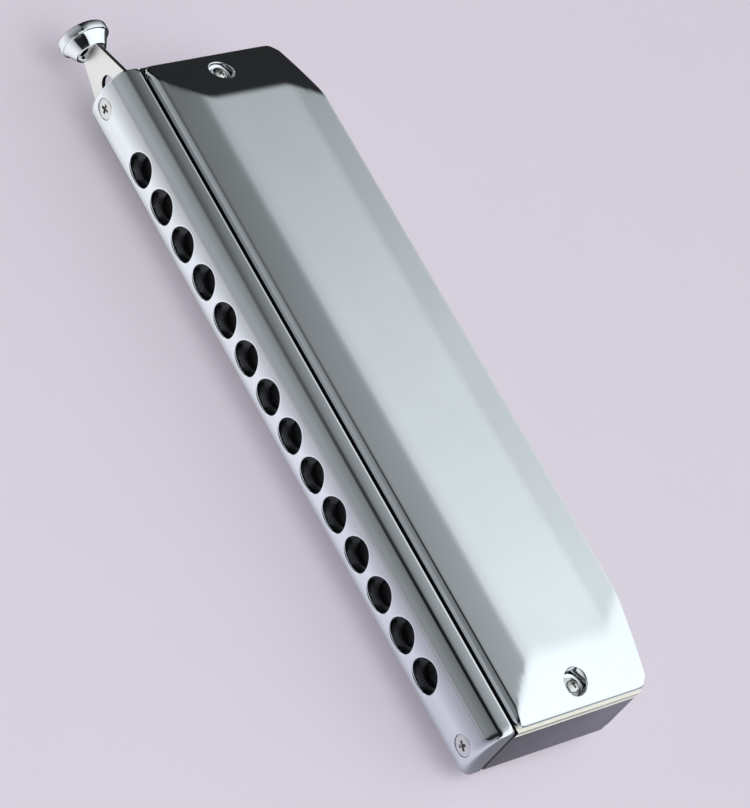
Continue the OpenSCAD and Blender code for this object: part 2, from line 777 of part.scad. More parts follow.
mouthpiece();
mouthpiece_screws();
front_guide_plate();
slide();
button();
rear_guide_plate();
screw_sleeves();
slide_spring();
comb();
gasket(comb_half);  // upper_gasket
below() gasket(lower_half);  // lower_gasket
reed_plate(comb_half);  // upper_reed_plate
below() reed_plate(lower_half);  // lower_reed_plate
reeds(true);  // upper_draw_reeds
on_inner_face() reeds(false);  // upper_blow_reeds
below() reeds(true);  // lower_draw_reeds
below() on_inner_face() reeds(false);  // lower_blow_reeds
rivets(true);  // upper_draw_rivets
on_inner_face() rivets(false);  // upper_blow_rivets
below() rivets(true);  // lower_draw_rivets
below() on_inner_face() rivets(false);  // lower_blow_rivets
valves(false);  // upper_outer_valves
on_inner_face() valves(true);  // upper_inner_valves
below() valves(false);  // lower_outer_valves
below() on_inner_face() valves(true);  // lower_inner_valves
plate_screws();  // upper_plate_screws
below() plate_screws();  // lower_plate_screws
cover();  // upper_cover
below() cover();  // lower_cover
cover_screws();  // upper_cover_screws
below() cover_screws();  // lower_cover_screws
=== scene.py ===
"""Visual model of a chromatic harmonica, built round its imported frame.

Shapes are drawn in millimetres and become metres when a piece is finished.
"""
import logging
import math
from dataclasses import dataclass
from enum import Enum
from typing import Callable

import bmesh
import bpy
from bmesh.types import BMEdge, BMesh, BMVert
from bpy.types import Material, Node, NodeSocket, NodeTree, Object
from mathutils import Matrix, Vector


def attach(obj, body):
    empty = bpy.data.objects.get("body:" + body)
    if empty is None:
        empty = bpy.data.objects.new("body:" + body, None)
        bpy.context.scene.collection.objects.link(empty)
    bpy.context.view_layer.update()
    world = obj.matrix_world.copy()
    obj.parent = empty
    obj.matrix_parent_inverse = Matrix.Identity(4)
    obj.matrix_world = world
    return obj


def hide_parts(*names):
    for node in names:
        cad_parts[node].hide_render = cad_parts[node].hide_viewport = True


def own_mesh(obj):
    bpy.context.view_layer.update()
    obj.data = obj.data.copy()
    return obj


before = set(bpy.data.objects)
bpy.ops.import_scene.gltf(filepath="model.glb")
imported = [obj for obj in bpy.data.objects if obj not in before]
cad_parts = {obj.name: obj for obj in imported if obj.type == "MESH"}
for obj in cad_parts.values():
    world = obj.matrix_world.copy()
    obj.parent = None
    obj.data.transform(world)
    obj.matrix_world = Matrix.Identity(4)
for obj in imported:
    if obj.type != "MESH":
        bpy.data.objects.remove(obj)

LOG = logging.getLogger("harmonica")
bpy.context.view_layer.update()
# A millimetre in metres
MM = 0.001
# A distance in millimetres that counts as none
NEAR = 1e-4
# Distance within which points of a copied node are joined, in metres
WELD = 2e-6
# Angles at which its faces still count as one flat face and from which its edges are rounded, in degrees
FLAT_TURN = 0.5
EDGE_TURN = 30.0
# Steps along each side of the rectangle round an opening
RING_STEPS = 18
# Shares of the way from that rectangle to the opening's circle
RING_SHARES = (0.3, 0.6, 0.85, 1.0)
# Angles at which the rows of a rolled edge stand, in degrees
ROLL_TURNS = range(15, 91, 15)

Colour = tuple[float, float, float]
Place = Callable[[Vector], Vector]
Stops = tuple[tuple[float, float], ...]


class Body(Enum):
    """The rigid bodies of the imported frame."""

    HARMONICA = "harmonica"
    SLIDE = "pressed_slide"


class Axis(Enum):
    """Directions in which a metal or plastic surface is drawn, milled or moulded."""

    ALONG = (1.0, 14.0, 14.0)
    ACROSS = (14.0, 1.0, 14.0)
    NONE = (1.0, 1.0, 1.0)


# Shaders


class Tree:
    """Adds and links the nodes of one shader tree."""

    def __init__(self, tree: NodeTree) -> None:
        """Keeps the tree that the nodes go into."""
        self.tree = tree

    def link(self, start: object, end: NodeSocket) -> None:
        """Joins an output to an input, or sets the input.

        Args:
            start: The output, or a plain value for the input.
            end: The input.
        """
        if isinstance(start, NodeSocket):
            self.tree.links.new(start, end)
        else:
            end.default_value = start

    def set_up(self, node: Node, **settings: object) -> Node:
        """Sets up a node.

        Args:
            node: The node.
            settings: Attributes of the node, or values and sockets for its inputs, with _ for a space.

        Returns:
            The same node.
        """
        for key, value in settings.items():
            if hasattr(node, key):
                setattr(node, key, value)
            else:
                self.link(value, node.inputs[key.replace("_", " ")])
        return node

    def add(self, kind: str, **settings: object) -> Node:
        """Adds a node by its type, without the ShaderNode prefix, and sets it up."""
        return self.set_up(self.tree.nodes.new("ShaderNode" + kind), **settings)

    def math(self, operation: str, *values: object) -> NodeSocket:
        """Adds a Math node.

        Args:
            operation: Blender's name of the operation.
            values: Sockets or numbers, in the order of the inputs.

        Returns:
            The result's socket.
        """
        node = self.add("Math", operation=operation)
        for value, end in zip(values, node.inputs):
            self.link(value, end)
        return node.outputs[0]

    def ramp(self, value: NodeSocket, stops: Stops) -> NodeSocket:
        """Turns a value from -1 to 1 into a grey level.

        Args:
            value: The socket that is read.
            stops: Pairs of a value and its level, in rising order.

        Returns:
            The level's socket.
        """
        node = self.add("ValToRGB")
        self.link(self.math("MULTIPLY_ADD", value, 0.5, 0.5), node.inputs[0])
        marks = node.color_ramp.elements
        marks[0].position = stops[0][0] / 2 + 0.5
        marks[1].position = stops[-1][0] / 2 + 0.5
        for spot, _ in stops[1:-1]:
            marks.new(spot / 2 + 0.5)
        for mark, (_, level) in zip(marks, stops):
            mark.color = (level, level, level, 1.0)
        return node.outputs[0]

    def between(self, value: NodeSocket, start: float, end: float, low: float = 0.0, high: float = 1.0,
                smooth: bool = False) -> NodeSocket:
        """Maps a value onto a range.

        Args:
            value: The value.
            start: The value that gives low.
            end: The value that gives high.
            low: The result at the start and beyond it.
            high: The result at the end and beyond it.
            smooth: Whether the way between them is an S-curve.

        Returns:
            The result's socket.
        """
        node = self.add("MapRange", Value=value, From_Min=start, From_Max=end, To_Min=low, To_Max=high,
                        interpolation_type="SMOOTHSTEP" if smooth else "LINEAR")
        return node.outputs["Result"]

    def spread(self, mask: NodeSocket, low: float, high: float) -> NodeSocket:
        """Maps a mask from 0 to 1 onto the range from low to high."""
        return self.between(mask, 0.0, 1.0, low, high)

    def tint(self, mask: NodeSocket, dark: Colour, light: Colour) -> NodeSocket:
        """Mixes two colours by a mask and returns the colour's socket."""
        node = self.add("Mix", data_type="RGBA", A=(*dark, 1.0), B=(*light, 1.0), Factor=mask)
        return node.outputs["Result"]

    def spot(self) -> NodeSocket:
        """Gives the Object coordinates of the shaded spot."""
        return self.add("TexCoord").outputs["Object"]

    def parts(self, vector: NodeSocket) -> list[NodeSocket]:
        """Splits a vector into its three parts."""
        return list(self.add("SeparateXYZ", Vector=vector).outputs)

    def noise(self, place: NodeSocket, scale: object, **settings: float) -> NodeSocket:
        """Gives noise over a place, with its scale as a number or a socket."""
        return self.add("TexNoise", Vector=place, Scale=scale, **settings).outputs["Fac"]

    def bump(self, height: NodeSocket, strength: float, distance: float, **base: NodeSocket) -> NodeSocket:
        """Gives the normal of a bumpy surface, on top of another Normal where one is given."""
        node = self.add("Bump", Strength=strength, Distance=distance, Height=height, **base)
        return node.outputs["Normal"]

    def scaled(self, colour: NodeSocket, share: NodeSocket) -> NodeSocket:
        """Multiplies a colour by one number."""
        return self.add("VectorMath", operation="SCALE", Vector=colour, Scale=share).outputs[0]

    def painted_shade(self, colour: NodeSocket, dark_y: float, unshaded_y: float, rest: float,
                lean: float = 0.0) -> NodeSocket:
        """Paints shade into a colour on one side of a plane across Y.

        Args:
            colour: The colour without painted shade.
            dark_y: Where the painted shade is full, in metres.
            unshaded_y: Where the painted shade ends.
            rest: Share of the colour that is left in the painted shade.
            lean: How far the plane leans along X.

        Returns:
            The colour with the painted shade.
        """
        x, y, _ = self.parts(self.spot())
        across = self.math("MULTIPLY_ADD", x, lean, y)
        return self.scaled(colour, self.between(across, dark_y, unshaded_y, low=rest))

    def grained(self, size: float, axis: Axis) -> Node:
        """Adds the group for grain, with its fineness and its direction."""
        return self.add("Group", node_tree=GRAIN, Size=size, **dict(zip("XYZ", axis.value)))

    def either(self, ray: str, usual: Node, other: Node, end: NodeSocket) -> None:
        """Gives one kind of ray the other shader, and all the rest the usual one.

        Args:
            ray: Name of the Light Path output for that kind.
            usual: The shader for all the rest.
            other: The shader for that kind.
            end: The input that takes the choice.
        """
        choice = self.add("MixShader", Fac=self.add("LightPath").outputs[ray])
        self.link(usual.outputs[0], choice.inputs[1])
        self.link(other.outputs[0], choice.inputs[2])
        self.link(choice.outputs[0], end)


def new_group(name: str, takes: list[str], gives: list[str]) -> Tree:
    """Starts a node group whose sockets all hold plain values.

    Args:
        name: The group's name.
        takes: Names of its inputs.
        gives: Names of its outputs.

    Returns:
        The group's tree, with its input and output nodes in place.
    """
    group = bpy.data.node_groups.new(name, "ShaderNodeTree")
    for label in takes:
        group.interface.new_socket(label, in_out="INPUT", socket_type="NodeSocketFloat")
    for label in gives:
        group.interface.new_socket(label, in_out="OUTPUT", socket_type="NodeSocketFloat")
    tree = Tree(group)
    group.nodes.new("NodeGroupInput").name = "in"
    group.nodes.new("NodeGroupOutput").name = "out"
    return tree


def handling_marks(smudged: tuple = (0.42, 0.68), turn: tuple = (0.3, 0.2, 0.9),
                   fineness: tuple = (60.0, 900.0, 900.0)) -> NodeTree:
    """Makes the group for faint smudges and hairline scratches on bright metal.

    Args:
        smudged: Noise at which a smudge starts and at which it is full.
        turn: How the hairlines are turned about X, Y and Z, in radians.
        fineness: How fine they are along and across, per metre.

    Returns:
        The group.
    """
    tree = new_group("handling_marks", ["Size"], ["Smudge", "Scratch"])
    nodes = tree.tree.nodes
    place = tree.spot()
    smudge = tree.noise(place, nodes["in"].outputs["Size"], Detail=5.0, Roughness=0.55)
    turned = tree.add("Mapping", Vector=place, Rotation=turn, Scale=fineness)
    hair = tree.noise(turned.outputs["Vector"], 1.0, Detail=2.0)
    tree.set_up(nodes["out"], Smudge=tree.between(smudge, *smudged, smooth=True), Scratch=hair)
    return tree.tree


def grain(broad_size: float = 70.0, mottled: tuple = (0.3, 0.7)) -> NodeTree:
    """Makes the group for drawn, milled or moulded grain, with a slower mottle.

    Args:
        broad_size: How fine the mottle is, per metre.
        mottled: Noise at which the mottle starts and at which it is full.

    Returns:
        The group.
    """
    tree = new_group("grain", ["Size", "X", "Y", "Z"], ["Grain", "Mottle"])
    nodes = tree.tree.nodes
    taken = nodes["in"].outputs
    place = tree.spot()
    stretch = tree.add("CombineXYZ", X=taken["X"], Y=taken["Y"], Z=taken["Z"])
    drawn = tree.add("VectorMath", operation="MULTIPLY", Vector=place)
    tree.link(stretch.outputs[0], drawn.inputs[1])
    fine = tree.noise(drawn.outputs[0], taken["Size"], Detail=4.0, Roughness=0.6)
    broad = tree.noise(place, broad_size, Detail=3.0)
    tree.set_up(nodes["out"], Grain=fine, Mottle=tree.between(broad, *mottled))
    return tree.tree


MARKS = handling_marks()
GRAIN = grain()


def new_surface(name: str) -> tuple[Material, Tree, Node]:
    """Starts a material and gives it with its tree and its shader."""
    material = bpy.data.materials.new(name)
    material.use_nodes = True
    return material, Tree(material.node_tree), material.node_tree.nodes["Principled BSDF"]


@dataclass(frozen=True)
class RecessShade:
    """Shade painted into the recess in the button's inner side and into the bore behind it. Lengths are in
    metres.

    Attributes:
        radius: Distance from the slide's axis up to which shade is painted on the button.
        fade: Width of the step to the bright plating round it.
        axis_y: Where the slide's axis lies.
        face: Where the painted shade ends on the way out, and where the outer face stays bright.
        bore: Where the bore's painted shade is black, and where the recess has only its lighter painted
            shade.
        left: Shares of the colour that are left in the bore and in the recess.
    """

    radius: float = 0.00252
    fade: float = 0.00005
    axis_y: float = 0.0043
    face: tuple[float, float] = (-0.0919, -0.0921)
    bore: tuple[float, float] = (-0.08945, -0.08938)
    left: tuple[float, float] = (0.06, 0.6)

    def painted_recess_shade(self, tree: Tree, colour: NodeSocket) -> NodeSocket:
        """Paints shade on the bottom of the recess and black shade in the bore behind it.

        Args:
            tree: The material's tree.
            colour: The bright colour.

        Returns:
            The colour with the painted shade in it.
        """
        x, y, z = tree.parts(tree.spot())
        aside = tree.math("ADD", y, -self.axis_y)
        square = tree.math("MULTIPLY_ADD", aside, aside, tree.math("MULTIPLY", z, z))
        around = tree.between(tree.math("SQRT", square), self.radius, self.radius + self.fade)
        outer_face = tree.between(x, *self.face)
        depth = tree.between(x, *self.bore, *self.left)
        return tree.scaled(colour, tree.math("MAXIMUM", tree.math("MAXIMUM", around, outer_face), depth))


@dataclass(frozen=True)
class Plating:
    """Bright plating: a mirror with smudges, hairlines and the slight wave of pressed sheet.

    Attributes:
        name: The material's name.
        tone: The metal's colour.
        gloss: Roughness of the cleanest places.
        dulling: How much rougher a smudge is.
        smudged: Share of the tone that is left in a smudge.
        marks: How fine the smudges are, per metre.
        hair: Height of a hairline, in metres.
        hair_strength: How strongly the hairlines show.
        wave: Height of the sheet's waves, in metres.
        wave_strength: How strongly the waves show.
        waves: How fine the waves are, per metre.
        painted_seam_shade: Distance behind the mouthpiece's front from which shade is painted into the
            plating, over its ledge and rear wall, in metres.
        painted_seam_fade: Width of the step to the painted shade, in metres.
        painted_seam_left: Share of the tone that is left in the painted shade.
        recess: Shade painted into the button's recess and bore, where the plating is on the button.
    """

    name: str
    tone: Colour
    gloss: float = 0.035
    dulling: float = 0.03
    smudged: float = 0.965
    marks: float = 55.0
    hair: float = 0.0000004
    hair_strength: float = 0.25
    wave: float = 0.000012
    wave_strength: float = 1.0
    waves: float = 22.0
    painted_seam_shade: float = 0.0
    painted_seam_fade: float = 0.0001
    painted_seam_left: float = 0.45
    recess: RecessShade | None = None

    def build(self) -> Material:
        """Makes the material.

        Returns:
            The material.
        """
        material, tree, shader = new_surface(self.name)
        marks = tree.add("Group", node_tree=MARKS, Size=self.marks)
        smudge = marks.outputs["Smudge"]
        colour = tree.tint(smudge, self.tone, tuple(self.smudged * part for part in self.tone))
        # Painted shade on the bar's ledge and rear wall, behind its front.
        if self.painted_seam_shade:
            colour = tree.painted_shade(colour, self.painted_seam_shade + self.painted_seam_fade, self.painted_seam_shade, self.painted_seam_left)
        # Painted shade in the button's recess and bore.
        if self.recess:
            colour = self.recess.painted_recess_shade(tree, colour)
        rough = tree.spread(smudge, self.gloss, self.gloss + self.dulling)
        sheet = tree.noise(tree.spot(), self.waves, Detail=1.0)
        waves = tree.bump(sheet, self.wave_strength, self.wave)
        hairs = tree.bump(marks.outputs["Scratch"], self.hair_strength, self.hair, Normal=waves)
        tree.set_up(shader, Metallic=1.0, Base_Color=colour, Roughness=rough, Normal=hairs)
        return material


@dataclass(frozen=True)
class Grained:
    """A surface with grain: resin, plain steel, brass, rubber or film.

    Attributes:
        name: The material's name.
        light: Its colour on the high places.
        dark: Its colour in the low places.
        rough: Roughness from the smoothest to the roughest place.
        metal: 1 for a metal, 0 for a plastic.
        size: How fine the grain is, per metre.
        axis: The direction in which the grain is drawn out.
        relief: Height of the grain, in metres.
        strength: How strongly the grain shows.
        coat: Weight of a clear skin.
        painted_gap_shade: Distance behind the mouthpiece's front up to which black shade is painted on the
            surface, in the gap behind the bar, in metres.
        fade: Width of the painted shade's edge, in metres.
        left: Share of the colour that is left in the painted shade.
        lean: How far the painted shade's edge leans along X.
        painted_falloff: Share of the colour that is left at the front, where shade is painted. The rest
            returns towards the back, where the painted shade ends.
        painted_falloff_y: Where that share applies and where the colour is whole, in metres.
    """

    name: str
    light: Colour
    dark: Colour
    rough: tuple[float, float]
    metal: float = 0.0
    size: float = 1800.0
    axis: Axis = Axis.NONE
    relief: float = 0.00001
    strength: float = 0.6
    coat: float = 0.0
    painted_gap_shade: float = 0.0
    fade: float = 0.00004
    left: float = 0.02
    lean: float = 0.0
    painted_falloff: float = 1.0
    painted_falloff_y: tuple[float, float] = (0.0075, 0.039)

    def build(self) -> Material:
        """Makes the material.

        Returns:
            The material.
        """
        material, tree, shader = new_surface(self.name)
        texture = tree.grained(self.size, self.axis)
        height = texture.outputs["Grain"]
        colour = tree.tint(texture.outputs["Mottle"], self.dark, self.light)
        # Painted shade, darkest at the front and falling off towards the back.
        if self.painted_falloff < 1:
            colour = tree.painted_shade(colour, *self.painted_falloff_y, self.painted_falloff)
        # Painted black shade in the gap behind the mouthpiece.
        if self.painted_gap_shade:
            colour = tree.painted_shade(colour, self.painted_gap_shade, self.painted_gap_shade + self.fade, self.left, self.lean)
        tree.set_up(shader, Metallic=self.metal, Coat_Weight=self.coat, Base_Color=colour,
                    Roughness=tree.spread(height, *self.rough),
                    Normal=tree.bump(height, self.strength, self.relief))
        return material


@dataclass(frozen=True)
class BladeFinish:
    """Satin nickel on the slide's arm, black on its sheared edges, and black shade painted where it runs in
    its channel behind the mouth holes.

    Attributes:
        name: The material's name.
        nickel: Colour of the arm.
        black: Colour of the edges and of the painted shade in the channel.
        start: Where the painted shade starts along the slide, in metres.
        fade: Width of the painted shade's edge, in metres.
        uneven: How uneven that edge is, in metres.
        edge: How squarely a face looks along Y, on the last plain face and on the first black one.
        metal: How metallic the arm is.
        rough: How much the roughness varies, and where it starts.
        size: How fine the grain is, per metre.
        relief: Height of the grain, in metres.
        strength: How strongly the grain shows.
    """

    name: str
    nickel: Colour
    black: Colour
    start: float
    fade: float = 0.0008
    uneven: float = 0.0006
    edge: tuple[float, float] = (0.7, 0.4)
    metal: float = 0.85
    rough: tuple[float, float] = (0.2, 0.28)
    size: float = 1500.0
    relief: float = 0.000003
    strength: float = 0.5

    def build(self) -> Material:
        """Makes the material.

        Returns:
            The material.
        """
        material, tree, shader = new_surface(self.name)
        texture = tree.grained(self.size, Axis.ALONG)
        height = texture.outputs["Grain"]
        x = tree.parts(tree.spot())[0]
        # Painted black shade where the slide runs in its channel, seen through the mouth holes.
        place = tree.math("MULTIPLY_ADD", texture.outputs["Mottle"], self.uneven, x)
        painted_hole_shade = tree.between(place, self.start, self.start + self.fade)
        facing = tree.parts(tree.add("NewGeometry").outputs["Normal"])[1]
        rim = tree.between(tree.math("ABSOLUTE", facing), *self.edge)
        dark = tree.math("MAXIMUM", painted_hole_shade, rim)
        tree.set_up(shader, Base_Color=tree.tint(dark, self.nickel, self.black),
                    Metallic=tree.spread(dark, self.metal, 0.0),
                    Roughness=tree.math("MULTIPLY_ADD", height, *self.rough),
                    Normal=tree.bump(height, self.strength, self.relief))
        return material


Finish = Plating | Grained | BladeFinish

CHROME = Plating("bright_chrome", (0.86, 0.88, 0.90))
# The bar's plating has shade painted behind its front, and the button's has shade painted in its recess.
BAR_CHROME = Plating("bar_chrome", (0.86, 0.88, 0.90), painted_seam_shade=0.0059)
BUTTON_CHROME = Plating("button_chrome", (0.86, 0.88, 0.90), recess=RecessShade())
ARM_PLATING = BladeFinish("slide_plating", (0.95, 0.93, 0.90), (0.02, 0.02, 0.022), -0.0765)
SCREW_STEEL = Grained("screw_steel", (0.80, 0.79, 0.77), (0.70, 0.69, 0.67), (0.16, 0.30), metal=1.0,
                      size=900.0, relief=0.000003)
GUIDE_STEEL = Grained("guide_steel", (0.66, 0.67, 0.69), (0.58, 0.59, 0.61), (0.25, 0.40), metal=1.0,
                      axis=Axis.ALONG, relief=0.000003)
SPRING_STEEL = Grained("spring_steel", (0.50, 0.50, 0.52), (0.40, 0.40, 0.42), (0.22, 0.36), metal=1.0,
                       axis=Axis.ACROSS, relief=0.000003)
BLACK_RESIN = Grained("black_resin", (0.022, 0.022, 0.024), (0.012, 0.012, 0.013), (0.28, 0.42))
SLEEVE_RESIN = Grained("sleeve_resin", (0.86, 0.85, 0.81), (0.80, 0.79, 0.75), (0.30, 0.45))
# The comb has black shade painted in the gap behind the mouthpiece, and shade painted at its front that falls
# off towards the back.
COMB_RESIN = Grained("comb_resin", (0.236, 0.220, 0.262), (0.190, 0.177, 0.213), (0.38, 0.52),
                     relief=0.000014, painted_gap_shade=0.0072, painted_falloff=0.54)
# The gasket and the reed plate have black shade painted in the gap behind the mouthpiece.
GASKET_RUBBER = Grained("gasket_rubber", (0.93, 0.91, 0.79), (0.86, 0.83, 0.70), (0.65, 0.85),
                        painted_gap_shade=0.00901, lean=0.0189)
PLATE_BRASS = Grained("plate_brass", (0.96, 0.93, 0.82), (0.90, 0.86, 0.73), (0.28, 0.42), metal=0.75,
                      axis=Axis.ALONG, relief=0.000004, painted_gap_shade=0.00901, lean=0.0189)
REED_BRASS = Grained("reed_brass", (0.86, 0.70, 0.38), (0.76, 0.58, 0.28), (0.18, 0.34), metal=1.0,
                     axis=Axis.ACROSS, relief=0.000004)
RIVET_BRASS = Grained("rivet_brass", (0.82, 0.64, 0.34), (0.70, 0.52, 0.26), (0.24, 0.38), metal=1.0,
                      relief=0.000005)
VALVE_FILM = Grained("valve_film", (0.92, 0.92, 0.88), (0.84, 0.84, 0.80), (0.30, 0.50), coat=0.2)
FINISHES = [
    CHROME, BAR_CHROME, BUTTON_CHROME, ARM_PLATING, SCREW_STEEL, GUIDE_STEEL, SPRING_STEEL, BLACK_RESIN,
    SLEEVE_RESIN, COMB_RESIN, GASKET_RUBBER, PLATE_BRASS, REED_BRASS, RIVET_BRASS, VALVE_FILM,
]
BUILT = {finish.name: finish.build() for finish in FINISHES}


# Mesh work


def picked(geometry: list, kind: type) -> list:
    """Picks the items of one kind out of mixed geometry."""
    return [item for item in geometry if isinstance(item, kind)]


def tan_steps(half: float) -> list[float]:
    """Divides a square's side where equal steps of angle round its centre meet it."""
    return [half * math.tan(math.radians(90 * step / RING_STEPS - 45)) for step in range(RING_STEPS + 1)]


def even_steps(start: float, end: float, count: int) -> list[float]:
    """Divides a stretch evenly and leaves its end out."""
    return [start + (end - start) * step / count for step in range(count)]


def stretches(marks: tuple, counts: tuple) -> list[float]:
    """Divides each stretch between marks into its own count of steps, and leaves the last mark out."""
    pairs = zip(marks, marks[1:], counts)
    return [place for start, end, count in pairs for place in even_steps(start, end, count)]


def ruled_grid(xs: list[float], ys: list[float]) -> BMesh:
    """Makes a flat grid whose lines stand at the given places.

    Args:
        xs: Places of the lines along X, in rising order.
        ys: Places of the lines along Y, in rising order.

    Returns:
        The grid, facing +Z.
    """
    bm = bmesh.new()
    bmesh.ops.create_grid(bm, x_segments=len(xs) - 1, y_segments=len(ys) - 1, size=1.0)
    for vert in bm.verts:
        vert.co.x = xs[round((vert.co.x + 1) / 2 * (len(xs) - 1))]
        vert.co.y = ys[round((vert.co.y + 1) / 2 * (len(ys) - 1))]
    return bm


def next_ring(bm: BMesh, edges: list[BMEdge], place: Place) -> list[BMEdge]:
    """Extrudes a chain of edges and puts its new vertices in place.

    Args:
        bm: The mesh.
        edges: The chain.
        place: Gives a vertex's new place from its old one.

    Returns:
        The new chain.
    """
    made = bmesh.ops.extrude_edge_only(bm, edges=edges)["geom"]
    fresh = set(picked(made, BMVert))
    for vert in fresh:
        vert.co = place(vert.co.copy())
    return [edge for edge in picked(made, BMEdge) if all(vert in fresh for vert in edge.verts)]


def fill(bm: BMesh, edges: list[BMEdge]) -> None:
    """Closes a ring of edges with one flat face."""
    bmesh.ops.edgeloop_fill(bm, edges=edges)


def spun(profile: list[tuple[float, float]], steps: int) -> BMesh:
    """Spins an outline round the Z axis.

    Args:
        profile: Pairs of radius and height, from one end of the axis to the other.
        steps: Number of faces round the axis.

    Returns:
        The closed solid.
    """
    bm = bmesh.new()
    verts = [bm.verts.new((radius, 0.0, height)) for radius, height in profile]
    edges = [bm.edges.new(pair) for pair in zip(verts, verts[1:])]
    bmesh.ops.spin(bm, geom=verts + edges, axis=(0, 0, 1), cent=(0, 0, 0), angle=2 * math.pi, steps=steps,
                   use_merge=True)
    bmesh.ops.remove_doubles(bm, verts=bm.verts, dist=NEAR)
    bmesh.ops.recalc_face_normals(bm, faces=bm.faces)
    return bm


def block(low: tuple, high: tuple, taper: float = 1.0) -> BMesh:
    """Makes a box between two corners, whose lower face is scaled by the taper.

    Args:
        low: The corner with the lowest coordinates.
        high: The corner with the highest ones.
        taper: Size of the lower face, as a share of the upper one.

    Returns:
        The closed solid.
    """
    bm = bmesh.new()
    bmesh.ops.create_cube(bm, size=1.0)
    for vert in bm.verts:
        if vert.co.z < 0:
            vert.co.x *= taper
            vert.co.y *= taper
        vert.co = Vector(low[axis] + (vert.co[axis] + 0.5) * (high[axis] - low[axis]) for axis in range(3))
    return bm


def shown(name: str, bm: BMesh) -> Object:
    """Uses up a mesh to put an object into the scene.

    Args:
        name: The object's name.
        bm: The mesh, which is used up.

    Returns:
        The object.
    """
    mesh = bpy.data.meshes.new(name)
    bm.to_mesh(mesh)
    bm.free()
    piece = bpy.data.objects.new(name, mesh)
    bpy.context.scene.collection.objects.link(piece)
    return piece


def carve(bm: BMesh, tools: list[BMesh]) -> BMesh:
    """Cuts each tool out of a solid.

    Args:
        bm: The solid, which is used up.
        tools: The shapes to cut away, which are used up.

    Returns:
        The solid with its cuts.
    """
    solid = shown("solid", bm)
    helpers = [shown("tool", tool) for tool in tools]
    for helper in helpers:
        cut = solid.modifiers.new("cut", "BOOLEAN")
        cut.operation = "DIFFERENCE"
        cut.solver = "EXACT"
        cut.object = helper
    bpy.context.view_layer.update()
    done = solid.evaluated_get(bpy.context.evaluated_depsgraph_get())
    out = bmesh.new()
    out.from_mesh(done.to_mesh())
    done.to_mesh_clear()
    for helper in [solid, *helpers]:
        mesh = helper.data
        bpy.data.objects.remove(helper)
        bpy.data.meshes.remove(mesh)
    return out


def scatter(bm: BMesh, places: list[Matrix]) -> None:
    """Repeats a shape at each place and drops the shape it started from.

    Args:
        bm: The shape.
        places: Where each copy stands.
    """
    source = bm.verts[:] + bm.edges[:] + bm.faces[:]
    first = bm.verts[:]
    for place in places:
        copy = bmesh.ops.duplicate(bm, geom=source)["geom"]
        bmesh.ops.transform(bm, matrix=place, verts=picked(copy, BMVert))
    bmesh.ops.delete(bm, geom=first, context="VERTS")


def settle(piece: Object, finish: Finish, body: Body, nodes: list[str], slot: str) -> None:
    """Dresses a piece and ties it to the frame.

    Args:
        piece: The piece, already in place.
        finish: Its finish.
        body: The body that carries it.
        nodes: The nodes that it stands for.
        slot: The record's material slot. It is not used.
    """
    piece.data.materials.clear()
    piece.data.materials.append(BUILT[finish.name])
    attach(piece, body.value)
    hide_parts(*nodes)
    LOG.info("%s stands for %s", piece.name, ", ".join(nodes))


def smoothed(name: str, bm: BMesh, sharp: float) -> Object:
    """Shows a mesh in metres with smooth shading.

    Args:
        name: The piece's name.
        bm: Its mesh, which is used up.
        sharp: The angle above which an edge stays sharp, in degrees.

    Returns:
        The piece, in the scene.
    """
    piece = shown(name, bm)
    piece.data.shade_smooth()
    piece.data.set_sharp_from_angle(angle=math.radians(sharp))
    return piece


def finished(name: str, bm: BMesh, sharp: float = 35.0) -> Object:
    """Turns a mesh in millimetres into a piece.

    Args:
        name: The piece's name.
        bm: Its mesh, which is used up.
        sharp: The angle above which an edge stays sharp, in degrees.

    Returns:
        The piece, in the scene.
    """
    bmesh.ops.scale(bm, vec=(MM, MM, MM), verts=bm.verts)
    return smoothed(name, bm, sharp)


def edged_copy(name: str, node: str, width: float) -> Object:
    """Copies a node of the frame and rounds its edges.

    Args:
        name: The piece's name.
        node: The node to copy.
        width: Width of the rounding, in millimetres.

    Returns:
        The piece, in the scene.
    """
    bm = bmesh.new()
    bm.from_mesh(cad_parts[node].data)
    bmesh.ops.remove_doubles(bm, verts=bm.verts, dist=WELD)
    bmesh.ops.dissolve_limit(bm, angle_limit=math.radians(FLAT_TURN), verts=bm.verts, edges=bm.edges)
    piece = smoothed(name, bm, EDGE_TURN)
    bevel = piece.modifiers.new("edges", "BEVEL")
    bevel.width = width * MM
    bevel.segments = 2
    bevel.limit_method = "ANGLE"
    bevel.angle_limit = math.radians(EDGE_TURN)
    bevel.harden_normals = True
    return piece


